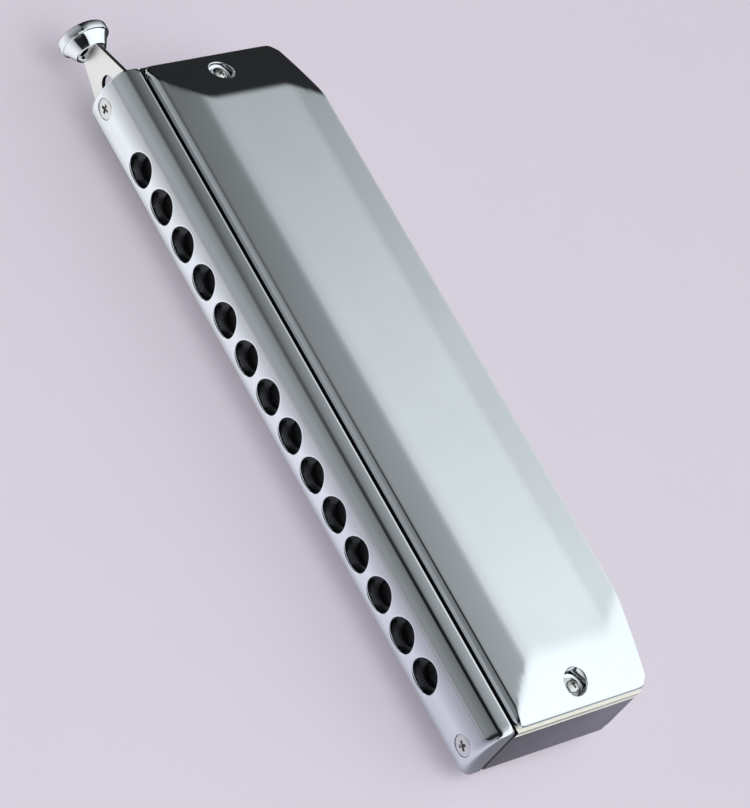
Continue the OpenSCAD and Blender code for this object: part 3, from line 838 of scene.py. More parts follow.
@dataclass(frozen=True)
class Outline:
    """A rectangle with round corners, centred on the origin.

    Attributes:
        half_x: Half its length.
        half_y: Half its width.
        rear_radius: Radius of its two corners at +Y.
        front_radius: Radius of its two corners at -Y.
    """

    half_x: float
    half_y: float
    rear_radius: float
    front_radius: float

    def radius(self, y: float) -> float:
        """Gives the corner radius on the side where a point lies."""
        return self.rear_radius if y > 0 else self.front_radius

    def over(self, x: float, y: float) -> tuple[float, float]:
        """Gives how far a point lies beyond the centre of the nearest corner, along X and along Y."""
        radius = self.radius(y)
        return abs(x) - self.half_x + radius, abs(y) - self.half_y + radius

    def core(self, spot: Vector) -> Vector:
        """Gives the nearest point of the rectangle that runs through the corners' centres."""
        reach_x = self.half_x - self.radius(spot.y)
        reach_y = self.half_y - self.radius(spot.y)
        return Vector((max(-reach_x, min(reach_x, spot.x)), max(-reach_y, min(reach_y, spot.y)), 0.0))

    def depth(self, x: float, y: float) -> float:
        """Gives the distance of a point inside from the outline.

        Args:
            x: The point's place along X.
            y: Its place along Y.

        Returns:
            The distance.
        """
        over_x, over_y = self.over(x, y)
        if over_x > 0 and over_y > 0:
            return self.radius(y) - math.hypot(over_x, over_y)
        return self.radius(y) - max(over_x, over_y)

    def facing(self, x: float, y: float) -> Vector:
        """Gives the direction from a point inside to the nearest part of the outline.

        Args:
            x: The point's place along X.
            y: Its place along Y.

        Returns:
            The direction, of length 1.
        """
        over_x, over_y = self.over(x, y)
        if over_x > 0 and over_y > 0:
            return Vector((math.copysign(over_x, x), math.copysign(over_y, y))).normalized()
        if over_x > over_y:
            return Vector((math.copysign(1.0, x), 0.0))
        return Vector((0.0, math.copysign(1.0, y)))

    def shifted(self, spot: Vector, out: float) -> Vector:
        """Moves a point near the outline to the given distance outside it, keeping its height.

        Args:
            spot: The point.
            out: The distance outside.

        Returns:
            The moved point.
        """
        core = self.core(spot)
        away = Vector((spot.x - core.x, spot.y - core.y, 0.0)).normalized()
        moved = core + away * (self.radius(spot.y) + out)
        moved.z = spot.z
        return moved

    def target(self, spot: Vector, inner_x: float, inner_y: float) -> Vector:
        """Finds where a point on an inner rectangle's border meets the outline.

        Args:
            spot: The point on the border.
            inner_x: Half the inner rectangle's length.
            inner_y: Half the inner rectangle's width.

        Returns:
            The point on the outline, at height 0.
        """
        side_x = math.copysign(1.0, spot.x)
        side_y = math.copysign(1.0, spot.y)
        x, y = abs(spot.x), abs(spot.y)
        radius = self.radius(spot.y)
        centre_x = self.half_x - radius
        centre_y = self.half_y - radius
        corner = math.atan2(inner_y - centre_y, inner_x - centre_x)
        if x > inner_x - NEAR:
            if y <= centre_y:
                return Vector((side_x * self.half_x, spot.y, 0.0))
            angle = corner * (y - centre_y) / (inner_y - centre_y)
        else:
            if x <= centre_x:
                return Vector((spot.x, side_y * self.half_y, 0.0))
            angle = math.pi / 2 + (corner - math.pi / 2) * (x - centre_x) / (inner_x - centre_x)
        return Vector((
            side_x * (centre_x + radius * math.cos(angle)),
            side_y * (centre_y + radius * math.sin(angle)),
            0.0,
        ))


@dataclass(frozen=True)
class Cell:
    """A rectangle of the relief that holds a round opening.

    Attributes:
        x: The opening's centre along the relief.
        y: The opening's centre across the relief.
        left: Distance from the centre to the low end of the rectangle.
        right: Distance from the centre to its high end.
        half: Half the rectangle's width.
    """

    x: float
    y: float
    left: float
    right: float
    half: float

    def lines_x(self) -> list[float]:
        """Gives the grid lines along the relief that meet the opening's rings."""
        return [self.x + step * (self.left if step < 0 else self.right) for step in tan_steps(1.0)]

    def lines_y(self) -> list[float]:
        """Gives the grid lines across the relief that meet the opening's rings."""
        return [self.y + step for step in tan_steps(self.half)]

    def holds(self, spot: Vector) -> bool:
        """Tells whether a point lies in the rectangle or on its border."""
        return (self.x - self.left - NEAR < spot.x < self.x + self.right + NEAR
                and abs(spot.y - self.y) < self.half + NEAR)

    def angle(self, spot: Vector) -> float:
        """Gives the angle at which a point of the border stands round the centre."""
        dx = spot.x - self.x
        return math.atan2((spot.y - self.y) / self.half, dx / (self.left if dx < 0 else self.right))

    def ring(self, radius: float, level: Callable[[float, float, float], float]) -> Place:
        """Gives the move to a circle round the opening.

        Args:
            radius: The circle's radius.
            level: Gives the new height from the place on the circle and the old height.

        Returns:
            The move.
        """
        def move(spot: Vector) -> Vector:
            """Moves a point.

            Args:
                spot: The point.

            Returns:
                The point in its new place.
            """
            angle = math.atan2(spot.y - self.y, spot.x - self.x)
            x = self.x + radius * math.cos(angle)
            y = self.y + radius * math.sin(angle)
            return Vector((x, y, level(x, y, spot.z)))
        return move


class Relief:
    """A sheet over a flat grid, raised by a height function, with round openings and a rounded outline."""

    def __init__(self, xs: list[float], ys: list[float], height: Callable[[float, float], float],
                 outline: Outline) -> None:
        """Makes the raised grid.

        Args:
            xs: Grid lines along the relief.
            ys: Grid lines across it.
            height: Height of the surface at a place.
            outline: The outline that the sheet runs out to.
        """
        self.bm = ruled_grid(xs, ys)
        self.height = height
        self.outline = outline
        self.inner_x = xs[-1]
        self.inner_rear = ys[-1]
        self.inner_front = -ys[0]
        for vert in self.bm.verts:
            vert.co.z = height(vert.co.x, vert.co.y)

    def opening(self, cell: Cell, radius: float, roll: float) -> list[BMEdge]:
        """Cuts a round opening whose edge rolls inwards.

        Args:
            cell: The rectangle that holds the opening.
            radius: The opening's radius.
            roll: Radius of the rolled edge.

        Returns:
            The innermost ring of edges.
        """
        bm = self.bm
        inside = [face for face in bm.faces if cell.holds(face.calc_center_median())]
        bmesh.ops.delete(bm, geom=inside, context="FACES")
        ring = [edge for edge in bm.edges
                if edge.is_boundary and all(cell.holds(vert.co) for vert in edge.verts)]
        square = {}
        wide = radius + roll

        def onto_circle(share: float) -> Place:
            """Gives the move from the border towards the circle.

            Args:
                share: The share of the way.

            Returns:
                The move.
            """
            def move(spot: Vector) -> Vector:
                """Moves a point.

                Args:
                    spot: The point.

                Returns:
                    The point in its new place.
                """
                angle, border = square.get(tuple(spot), (cell.angle(spot), spot.copy()))
                x = border.x + (cell.x + wide * math.cos(angle) - border.x) * share
                y = border.y + (cell.y + wide * math.sin(angle) - border.y) * share
                moved = Vector((x, y, self.height(x, y)))
                square[tuple(moved)] = (angle, border)
                return moved
            return move

        for share in RING_SHARES:
            ring = next_ring(bm, ring, onto_circle(share))
        for turn in ROLL_TURNS:
            bend = math.radians(turn)
            ring = next_ring(bm, ring, self.rolled(cell, radius + roll * (1 - math.sin(bend)),
                                                   roll * (1 - math.cos(bend))))
        return ring

    def rolled(self, cell: Cell, radius: float, sink: float) -> Place:
        """Gives the move to a circle that lies below the surface by a given depth."""
        return cell.ring(radius, lambda x, y, _: self.height(x, y) - sink)

    def run_out(self, shares: list[float]) -> list[BMEdge]:
        """Runs the sheet from the grid's border out to the outline.

        Args:
            shares: Shares of the way at which a row of vertices stands.

        Returns:
            The edges on the outline.
        """
        edge_x, rear, front = self.inner_x - NEAR, self.inner_rear - NEAR, NEAR - self.inner_front
        ring = [edge for edge in self.bm.edges if edge.is_boundary
                and (all(abs(vert.co.x) > edge_x for vert in edge.verts)
                     or all(vert.co.y > rear for vert in edge.verts)
                     or all(vert.co.y < front for vert in edge.verts))]
        paths = {}

        def move_to(share: float) -> Place:
            """Gives the move towards the outline.

            Args:
                share: The share of the way.

            Returns:
                The move.
            """
            def move(spot: Vector) -> Vector:
                """Moves a point.

                Args:
                    spot: The point.

                Returns:
                    The point in its new place.
                """
                start, end = paths.get(tuple(spot), (spot.copy(), None))
                if end is None:
                    inner_y = self.inner_rear if start.y > 0 else self.inner_front
                    end = self.outline.target(start, self.inner_x, inner_y)
                x = start.x + (end.x - start.x) * share
                y = start.y + (end.y - start.y) * share
                moved = Vector((x, y, self.height(x, y)))
                paths[tuple(moved)] = (start, end)
                return moved
            return move

        for share in shares:
            ring = next_ring(self.bm, ring, move_to(share))
        return ring


def rounding(depth: float, radius: float) -> float:
    """Gives how far a rounded edge falls below the surface, at a distance inside the outline."""
    gap = min(max(radius - depth, 0.0), radius)
    return radius - math.sqrt(radius * radius - gap * gap)


def closing_shares(steps: int) -> list[float]:
    """Divides the way to an outline into steps that get finer towards it."""
    return [math.sin(math.pi / 2 * step / steps) for step in range(1, steps + 1)]


# Mouthpiece


@dataclass
class Mouthpiece:
    """The chromed bar with the mouth holes.

    Attributes:
        holes: Number of holes.
        pitch: Distance between holes.
        hole_r: Radius of a hole.
        roll: Radius of a hole's polished edge.
        bends: The arcs of the front's section: the radius of each, and the angle off the front at its end.
        half: Half the length of the front.
        high: Half its height.
        corner: Its corner radius.
        low_end: Radius of the edge at the closed end.
        button_end: Radius of the edge at the button's end.
        screw_x: Distance of a screw from the middle.
        screw_cell: Reach of the rectangle round a screw towards the middle and towards the end.
        seat_r: Radius of a screw's seat.
        seat_roll: Radius of the seat's edge.
        seat_rows: Rows of the seat below it, each with its radius and its depth.
        shank_r: Radius of the hole behind the seat.
        floor: Distance from the front to the channel's floor.
        past: How far a hole is drawn beyond that floor, into the channel.
        channel_x: Where the channel starts and ends.
        channel_back: Distance from the front up to which the channel is cut.
        channel_half: Half the channel's height.
        end_lines: Grid lines next to the ends.
        end_steps: Steps from a hole's rectangle to a screw's.
        side_lines: Grid lines beside the holes, then start, end and count of the even ones, then the last.
        steps: Rows from the grid to the outline.
        rim: Rows behind the front, each with its depth and its distance out from the front's outline, first
            along the sides and then at the ends.
        sharp: The angle above which an edge of the bar stays sharp, in degrees.
    """

    holes: int = 14
    pitch: float = 9.2
    hole_r: float = 3.6
    roll: float = 0.5
    bends: tuple = ((12.0, 32.8), (3.9, 61.0), (18.0, 90.0))
    half: float = 78.75
    high: float = 8.78
    corner: float = 1.8
    low_end: float = 2.0
    button_end: float = 0.5
    screw_x: float = 75.2
    screw_cell: tuple[float, float] = (2.6, 2.48)
    seat_r: float = 2.3
    seat_roll: float = 0.14
    seat_rows: tuple = ((2.3, 0.45), (1.1, 1.7))
    shank_r: float = 1.1
    floor: float = 3.0
    past: float = 0.3
    channel_x: tuple[float, float] = (-90.0, 77.2)
    channel_back: float = 12.0
    channel_half: float = 6.78
    end_lines: tuple = (77.84, 78.0, 78.15)
    end_steps: int = 9
    side_lines: tuple = ((5.1, 5.6), (6.1, 8.0, 10), (8.0, 8.15, 8.25))
    steps: int = 11
    rim: tuple = (
        (5.463, 0.027, 0.0), (5.58, 0.032, 0.0), (5.695, 0.007, 0.0), (5.8, -0.047, 0.0),
        (5.886, -0.127, 0.0), (5.95, -0.226, 0.0), (5.984, -0.338, 0.0), (5.99, -0.455, 0.0),
        (6.1, -0.75, 0.0), (6.4, -1.1, 0.0), (6.6, -1.32, -0.1), (6.68, -1.4, -0.25), (6.7, -1.5, -0.5),
    )
    sharp: float = 32.0

    def outline(self) -> Outline:
        """Gives the outline of the curved front, seen from the front."""
        return Outline(self.half, self.high, self.corner, self.corner)

    def section(self, z: float) -> float:
        """Gives the distance of the front's section behind its foremost line, at a height.

        Args:
            z: The height over the middle of the front.

        Returns:
            The distance.
        """
        centre_y = before = self.bends[0][0]
        centre_z = angle = 0.0
        for radius, end in self.bends:
            centre_y -= (before - radius) * math.cos(angle)
            centre_z += (before - radius) * math.sin(angle)
            before, angle = radius, math.radians(end)
            if abs(z) <= centre_z + radius * math.sin(angle):
                break
        return centre_y - math.sqrt(before ** 2 - (abs(z) - centre_z) ** 2)

    def height(self, x: float, z: float) -> float:
        """Gives the front's height over the plane through the holes, which is negative."""
        end = self.low_end if x > 0 else self.button_end
        return -self.section(min(abs(z), self.high)) - rounding(self.half - abs(x), end)

    def lines(self, cells: list[Cell], ends: list[Cell]) -> list[float]:
        """Gives the grid lines along the bar, through the rectangles of the holes and of the screws.

        Args:
            cells: The rectangles of the holes.
            ends: The rectangles of the screws.

        Returns:
            The lines, in rising order.
        """
        lines = [-line for line in reversed(self.end_lines)] + ends[0].lines_x()
        lines += even_steps(ends[0].x + ends[0].right, cells[0].x - cells[0].left, self.end_steps)[1:]
        for cell in cells:
            lines += cell.lines_x()[:-1]
        lines.append(cells[-1].x + cells[-1].right)
        lines += even_steps(lines[-1], ends[1].x - ends[1].left, self.end_steps)[1:]
        return [*lines, *ends[1].lines_x(), *self.end_lines]

    def build(self) -> None:
        """Builds the bar."""
        reach = self.pitch / 2
        inner, outer = self.screw_cell
        cells = [Cell((index - (self.holes - 1) / 2) * self.pitch, 0.0, reach, reach, reach)
                 for index in range(self.holes)]
        ends = [Cell(-self.screw_x, 0.0, outer, inner, reach), Cell(self.screw_x, 0.0, inner, outer, reach)]
        beside, even, last = self.side_lines
        rows = [*beside, *even_steps(*even), *last]
        across = [-row for row in reversed(rows)] + cells[0].lines_y() + rows
        relief = Relief(self.lines(cells, ends), across, self.height, self.outline())
        back = self.floor + self.past
        for cell in cells:
            ring = relief.opening(cell, self.hole_r, self.roll)
            ring = next_ring(relief.bm, ring, lambda spot: Vector((spot.x, spot.y, -back)))
            fill(relief.bm, ring)
        for cell in ends:
            ring = relief.opening(cell, self.seat_r, self.seat_roll)
            for radius, depth in (*self.seat_rows, (self.shank_r, back)):
                ring = next_ring(relief.bm, ring, self.seat(cell, radius, depth))
            fill(relief.bm, ring)
        ring = relief.run_out(closing_shares(self.steps))
        for depth, side_out, end_out in self.rim:
            ring = next_ring(relief.bm, ring, self.wall(relief.outline, depth, side_out, end_out))
        fill(relief.bm, ring)
        bmesh.ops.recalc_face_normals(relief.bm, faces=relief.bm.faces)
        bmesh.ops.transform(relief.bm, matrix=Matrix.Rotation(math.pi / 2, 4, "X"), verts=relief.bm.verts)
        channel = block((self.channel_x[0], self.floor, -self.channel_half),
                        (self.channel_x[1], self.channel_back, self.channel_half))
        bar = finished("mouthpiece_bar", carve(relief.bm, [channel]), self.sharp)
        settle(bar, BAR_CHROME, Body.HARMONICA, ["mouthpiece"], "chrome")

    def seat(self, cell: Cell, radius: float, depth: float) -> Place:
        """Gives the move to a flat ring round a screw, at a depth from the front."""
        return cell.ring(radius, lambda *_: -depth)

    def wall(self, outline: Outline, depth: float, side_out: float, end_out: float) -> Place:
        """Gives the move to a row round the rim, at a depth and at a distance out from the outline.

        Args:
            outline: The front's outline.
            depth: How deep the row lies.
            side_out: Its distance out from the outline along the sides.
            end_out: The same at the ends.

        Returns:
            The move.
        """
        def move(spot: Vector) -> Vector:
            """Moves a point.

            Args:
                spot: The point.

            Returns:
                The point in its new place.
            """
            side = outline.facing(spot.x, spot.y).y ** 2
            moved = outline.shifted(spot, side_out * side + end_out * (1 - side))
            moved.z = min(-depth, spot.z)
            return moved
        return move


# Covers


@dataclass
class Cover:
    """A pressed cover plate with soft creases, sunk screw pockets and a rolled back edge.

    Attributes:
        half: Half its length.
        front: Distance of its front from the front of the mouthpiece.
        back: Distance of its back edge from the front of the mouthpiece.
        rear_corner: Radius of its rear corners, seen from above.
        front_corner: Radius of its front corners, seen from above.
        foot: Height of the reed plate's face, which it stands on.
        lip: Height at which the front slope starts.
        flat: Height of the flat.
        top: Height of the back edge.
        slope_y: Where the front slope ends.
        flat_y: Where the flat ends.
        crown: How much the front slope bulges.
        end_crown: How much an end slope bulges.
        slope_x: Distance from the middle at which an end slope reaches the flat.
        edge_h: Height of the upright edge at the button's end.
        low_edge_h: Height of the upright edge at the low end.
        sheet: Thickness of the sheet.
        soft: Softness of the creases at the ends.
        deck_soft: Softness of the bend behind the flat, as a share of the creases'.
        front_soft: Softness of the crease between the front slope and the flat.
        edge: Radius of the edge at the button's end and the back.
        low_edge: Radius of the edge at the low end.
        front_edge: Radius of the edge at the front.
        front_ease: Radius of the gentle bend that leads to it.
        ease_w: Width of that bend.
        least: Height over the foot that the sheet keeps above its skirt.
        pocket_x: Distance of a pocket from the middle.
        pocket_y: Distance of a pocket behind the front of the mouthpiece.
        pocket_cell: Reach of the rectangle round a pocket towards the middle and towards the end.
        pocket_r: Radius of a pocket's mouth.
        pocket_roll: Radius of its edge.
        pocket_floor: Height of its floor over the foot.
        pocket_rows: Rows in a pocket, each with its radius and its height over the floor.
        open_x: Distance from the middle at which the open back ends.
        back_reach: How near the back a point of the outline lies that belongs to the rolled edge.
        skirt_rows: Rows of the skirt, each with its distance out and its height over the foot.
        back_rows: Rows of the rolled back edge, each with its distance out and its drop.
        foot_x: Where the longer foot at the button's end starts.
        foot_stretch: How many times as long it becomes.
        coarse_x: Distance from the middle up to which the grid is coarse.
        end_lines: Grid lines next to the ends.
        side_counts: Steps of the coarse grid and of the finer one that follows it.
        front_lines: Distances behind the front between which the grid is closest.
        crease_w: Reach of the close grid on either side of the front crease.
        front_counts: Steps of the stretches from the first of those lines to the pockets.
        bend_w: Reach of the close grid on either side of the bend behind the flat.
        rear_counts: Steps of the stretches from the pockets to the end of that bend.
        back_line: Distance of the last grid line from the back.
        steps: Rows from the grid to the outline.
        level: How squarely a face has to look along Z to count as level.
        sharp: The angle above which an edge of the sheet stays sharp, in degrees.
    """

    half: float = 78.2
    front: float = 7.4
    back: float = 40.8
    rear_corner: float = 2.2
    front_corner: float = 2.0
    foot: float = 7.3
    lip: float = 8.92
    flat: float = 12.4
    top: float = 14.1
    slope_y: float = 15.4
    flat_y: float = 35.1
    crown: float = 0.068
    end_crown: float = 0.12
    slope_x: float = 66.5
    edge_h: float = 0.7
    low_edge_h: float = 1.2
    sheet: float = 0.62
    soft: float = 0.45
    deck_soft: float = 0.6
    front_soft: float = 0.85
    edge: float = 0.38
    low_edge: float = 0.8
    front_edge: float = 0.9
    front_ease: float = 3.2
    ease_w: float = 1.4
    least: float = 0.06
    pocket_x: float = 73.35
    pocket_y: float = 23.7
    pocket_cell: tuple[float, float] = (3.8, 3.3)
    pocket_r: float = 2.65
    pocket_roll: float = 0.34
    pocket_floor: float = 0.8
    pocket_rows: tuple = ((2.65, 0.28), (2.58, 0.1), (2.4, 0.0), (1.1, 0.0))
    open_x: float = 62.0
    back_reach: float = 0.01
    skirt_rows: tuple = ((0.0, 0.12), (-0.06, 0.02))
    back_rows: tuple = ((0.0, 0.32), (-0.05, 0.57), (-0.2, 0.82), (-0.45, 0.98), (-0.7, 1.02), (-0.95, 0.95))
    foot_x: float = -76.9
    foot_stretch: float = 1.3
    coarse_x: float = 56.0
    end_lines: tuple = (76.78, 76.9)
    side_counts: tuple[int, int] = (8, 30)
    front_lines: tuple[float, float] = (1.2, 2.1)
    crease_w: float = 2.8
    front_counts: tuple = (4, 3, 14, 4)
    bend_w: float = 2.5
    rear_counts: tuple[int, int] = (6, 13)
    back_line: float = 2.0
    steps: int = 14
    level: float = 0.9
    sharp: float = 50.0

    def smooth_min(self, one: float, two: float, soft: float) -> float:
        """Gives the smaller of two heights, blended where they are close."""
        near = max(soft - abs(one - two), 0.0) / soft
        return min(one, two) - near * near * soft / 4

    def plain_height(self, x: float, across: float) -> float:
        """Gives the pressed sheet's height, before its edge is rounded.

        Args:
            x: The place along X.
            across: The place along Y from the sheet's middle.

        Returns:
            The height.
        """
        y = across + (self.front + self.back) / 2
        way = (y - self.front) / (self.slope_y - self.front)
        slope = self.lip + way * (self.flat - self.lip) + 4 * self.crown * way * (1 - way)
        rise = self.flat + (y - self.flat_y) * (self.top - self.flat) / (self.back - self.flat_y)
        deck = -self.smooth_min(-self.flat, -rise, self.soft * self.deck_soft)
        foot = self.foot + (self.low_edge_h if x > 0 else self.edge_h)
        way = (self.half - abs(x)) / (self.half - self.slope_x)
        end = foot + way * (self.flat - foot) + 4 * self.end_crown * way * (1 - way)
        return self.smooth_min(self.smooth_min(slope, deck, self.front_soft), end, self.soft)

    def height(self, x: float, across: float) -> float:
        """Gives the sheet's height with its rounded edge.

        Args:
            x: The place along X.
            across: The place along Y from the sheet's middle.

        Returns:
            The height.
        """
        outline = self.outline()
        facing = outline.facing(x, across)
        front = max(-facing.y, 0.0) ** 2
        low = max(facing.x, 0.0) ** 2 if x > 0 else 0.0
        radius = self.edge + (self.front_edge - self.edge) * front + (self.low_edge - self.edge) * low
        depth = outline.depth(x, across)
        ease = rounding(depth + self.front_ease - self.ease_w, self.front_ease) * front
        fall = rounding(depth, radius) + ease
        return max(self.plain_height(x, across) - fall, self.foot + self.least)

    def outline(self) -> Outline:
        """Gives the sheet's outline, seen from above."""
        return Outline(self.half, (self.back - self.front) / 2, self.rear_corner, self.front_corner)

    def lines(self, cell: Cell) -> list[float]:
        """Gives the grid lines along the sheet, through the rectangle round the pocket at the low end.

        Args:
            cell: The rectangle.

        Returns:
            The lines, in rising order.
        """
        right = stretches((0.0, self.coarse_x, cell.x - cell.left), self.side_counts)
        right += [*cell.lines_x(), *self.end_lines]
        return [-x for x in reversed(right[1:])] + right

    def rows(self, cell: Cell, middle: float) -> list[float]:
        """Gives the grid lines across the sheet, which stand close together where it bends.

        Args:
            cell: The rectangle round a pocket.
            middle: Distance of the sheet's middle from the bar's front.

        Returns:
            The lines, in rising order.
        """
        half = middle - self.front
        start, end = (line - half for line in self.front_lines)
        crease = self.slope_y - middle
        rise = self.flat_y - middle
        marks = (start, end, crease - self.crease_w, crease + self.crease_w, cell.y - cell.half)
        rows = stretches(marks, self.front_counts) + cell.lines_y()[:-1]
        rows += stretches((cell.y + cell.half, rise - self.bend_w, rise + self.bend_w), self.rear_counts)
        return [*rows, rise + self.bend_w, half - self.back_line]

    def build(self, upper: bool) -> None:
        """Builds one cover.

        Args:
            upper: Whether it is the upper cover.
        """
        middle = (self.front + self.back) / 2
        pocket_y = self.pocket_y - middle
        inner, outer = self.pocket_cell
        cells = [Cell(-self.pocket_x, pocket_y, outer, inner, inner),
                 Cell(self.pocket_x, pocket_y, inner, outer, inner)]
        relief = Relief(self.lines(cells[1]), self.rows(cells[0], middle), self.height, self.outline())
        for cell in cells:
            self.pocket(relief, cell)
        ring = relief.run_out(closing_shares(self.steps))
        self.skirt(relief, ring)
        bmesh.ops.recalc_face_normals(relief.bm, faces=relief.bm.faces)
        level = [face for face in relief.bm.faces if abs(face.normal.z) > self.level]
        top = max(level, key=lambda face: face.calc_center_median().z)
        if top.normal.z < 0:
            bmesh.ops.reverse_faces(relief.bm, faces=relief.bm.faces)
        bmesh.ops.translate(relief.bm, vec=(0, middle, 0), verts=relief.bm.verts)
        self.reach_over(relief.bm)
        name = "upper" if upper else "lower"
        if not upper:
            bmesh.ops.scale(relief.bm, vec=(1, 1, -1), verts=relief.bm.verts)
            bmesh.ops.reverse_faces(relief.bm, faces=relief.bm.faces)
        piece = finished(name + "_cover_sheet", relief.bm, self.sharp)
        wall = piece.modifiers.new("wall", "SOLIDIFY")
        wall.thickness = self.sheet * MM
        wall.offset = -1.0
        wall.use_even_offset = False
        settle(piece, CHROME, Body.HARMONICA, [name + "_cover"], "chrome")

    def reach_over(self, bm: BMesh) -> None:
        """Stretches the sheet's foot at the button's end, where it hides the end of the reed plate."""
        for vert in bm.verts:
            if vert.co.x < self.foot_x:
                vert.co.x = self.foot_x + (vert.co.x - self.foot_x) * self.foot_stretch

    def pocket(self, relief: Relief, cell: Cell) -> None:
        """Sinks a screw pocket into the end slope.

        Args:
            relief: The sheet.
            cell: The rectangle round the pocket.
        """
        ring = relief.opening(cell, self.pocket_r, self.pocket_roll)
        floor = self.foot + self.pocket_floor
        for radius, over in self.pocket_rows:
            ring = next_ring(relief.bm, ring, self.cup(cell, radius, floor + over))

    def cup(self, cell: Cell, radius: float, level: float) -> Place:
        """Gives the move to a ring of the pocket that lies no higher than a level."""
        return cell.ring(radius, lambda x, y, z: min(z, level))

    def skirt(self, relief: Relief, ring: list[BMEdge]) -> None:
        """Turns the sheet's edge down at the front and the ends, and rolls it at the open back.

        Args:
            relief: The sheet.
            ring: The edges on its outline.
        """
        outline = self.outline()
        back = outline.half_y - self.back_reach
        rolled = [edge for edge in ring
                  if all(vert.co.y > back and abs(vert.co.x) <= self.open_x for vert in edge.verts)]
        lowered = [edge for edge in ring if edge not in rolled]
        for out, over in self.skirt_rows:
            lowered = next_ring(relief.bm, lowered, self.down(outline, out, self.foot + over))
        for out, drop in self.back_rows:
            rolled = next_ring(relief.bm, rolled, self.under(outline, out, drop))

    def down(self, outline: Outline, out: float, level: float) -> Place:
        """Gives the move to a row at one level round the sheet.

        Args:
            outline: The sheet's outline.
            out: The row's distance out from it.
            level: The row's height.

        Returns:
            The move.
        """
        def move(spot: Vector) -> Vector:
            """Moves a point.

            Args:
                spot: The point.

            Returns:
                The point in its new place.
            """
            moved = outline.shifted(spot, out)
            moved.z = min(spot.z, level)
            return moved
        return move

    def under(self, outline: Outline, out: float, drop: float) -> Place:
        """Gives the move to a row of the rolled edge, below the end of the sheet's rounding.

        Args:
            outline: The sheet's outline.
            out: The row's distance out from it.
            drop: Its distance below the surface.

        Returns:
            The move.
        """
        def move(spot: Vector) -> Vector:
            """Moves a point.

            Args:
                spot: The point.

            Returns:
                The point in its new place.
            """
            top = self.height(spot.x, outline.half_y)
            return Vector((spot.x, outline.half_y + out, top - drop))
        return move


# Fasteners


@dataclass(frozen=True)
class CrossScrew:
    """A screw with a cross recess, drawn with its head up.

    Attributes:
        profile: Pairs of radius and height, from the middle of the head to where the shank starts.
        shank_r: Radius of the thread's crests.
        tip: Height of the shank's tip.
        recess: Length, width and depth of the cross recess.
        pitch: Distance between the thread's crests.
        root: Radius of the thread's roots, as a share of the crests'.
        bare: Length of the shank without thread, under the head and at the tip.
        point: Radii where the tip starts and where it ends, as shares of the crests'.
        taper: Size of the recess's bottom, as a share of its mouth.
        faces: Number of faces round the screw.
        sharp: The angle above which an edge stays sharp, in degrees.
    """

    profile: tuple
    shank_r: float
    tip: float
    recess: tuple[float, float, float]
    pitch: float = 0.4
    root: float = 0.84
    bare: float = 0.3
    point: tuple[float, float] = (0.8, 0.4)
    taper: float = 0.8
    faces: int = 40
    sharp: float = 30.0

    def solid(self) -> BMesh:
        """Makes one screw with its thread and its recess.

        Returns:
            The closed solid.
        """
        outline = list(self.profile)
        level = outline[-1][1] - self.bare
        while level > self.tip + self.bare + self.pitch:
            outline += [(self.shank_r, level), (self.shank_r * self.root, level - self.pitch / 2)]
            level -= self.pitch
        wide, narrow = self.point
        outline += [(self.shank_r * wide, self.tip + self.bare), (self.shank_r * narrow, self.tip)]
        outline.append((0.0, self.tip))
        length, width, depth = self.recess
        top = self.profile[0][1]
        arms = [block((-along / 2, -across / 2, top - depth), (along / 2, across / 2, top + 1), self.taper)
                for along, across in ((length, width), (width, length))]
        return carve(spun(outline, self.faces), arms)

    def set_in(self, name: str, places: list[Matrix], node: str) -> None:
        """Builds the screws of one set.

        Args:
            name: The piece's name.
            places: Where each screw stands and how it is turned.
            node: The node that the set stands for.
        """
        bm = self.solid()
        scatter(bm, places)
        settle(finished(name, bm, self.sharp), SCREW_STEEL, Body.HARMONICA, [node], "screw_steel")


COUNTERSUNK = CrossScrew(
    ((0.0, 0.02), (1.2, 0.0), (1.9, -0.05), (2.14, -0.12), (2.22, -0.24), (2.2, -0.34), (1.0, -1.45)),
    1.0, -12.0, (2.4, 0.75, 0.8),
)
COVER_SCREW = CrossScrew(
    ((0.0, 1.04), (0.5, 1.02), (1.0, 0.93), (1.36, 0.79), (1.6, 0.6), (1.74, 0.38), (1.78, 0.12), (1.72, 0.0),
     (1.0, 0.0)),
    1.0, -6.0, (2.2, 0.6, 0.8),
)
PLATE_SCREW = CrossScrew(
    ((0.0, 0.7), (0.6, 0.68), (1.0, 0.6), (1.22, 0.45), (1.3, 0.25), (1.28, 0.0), (0.8, 0.0)),
    0.8, -4.4, (1.5, 0.4, 0.45),
)


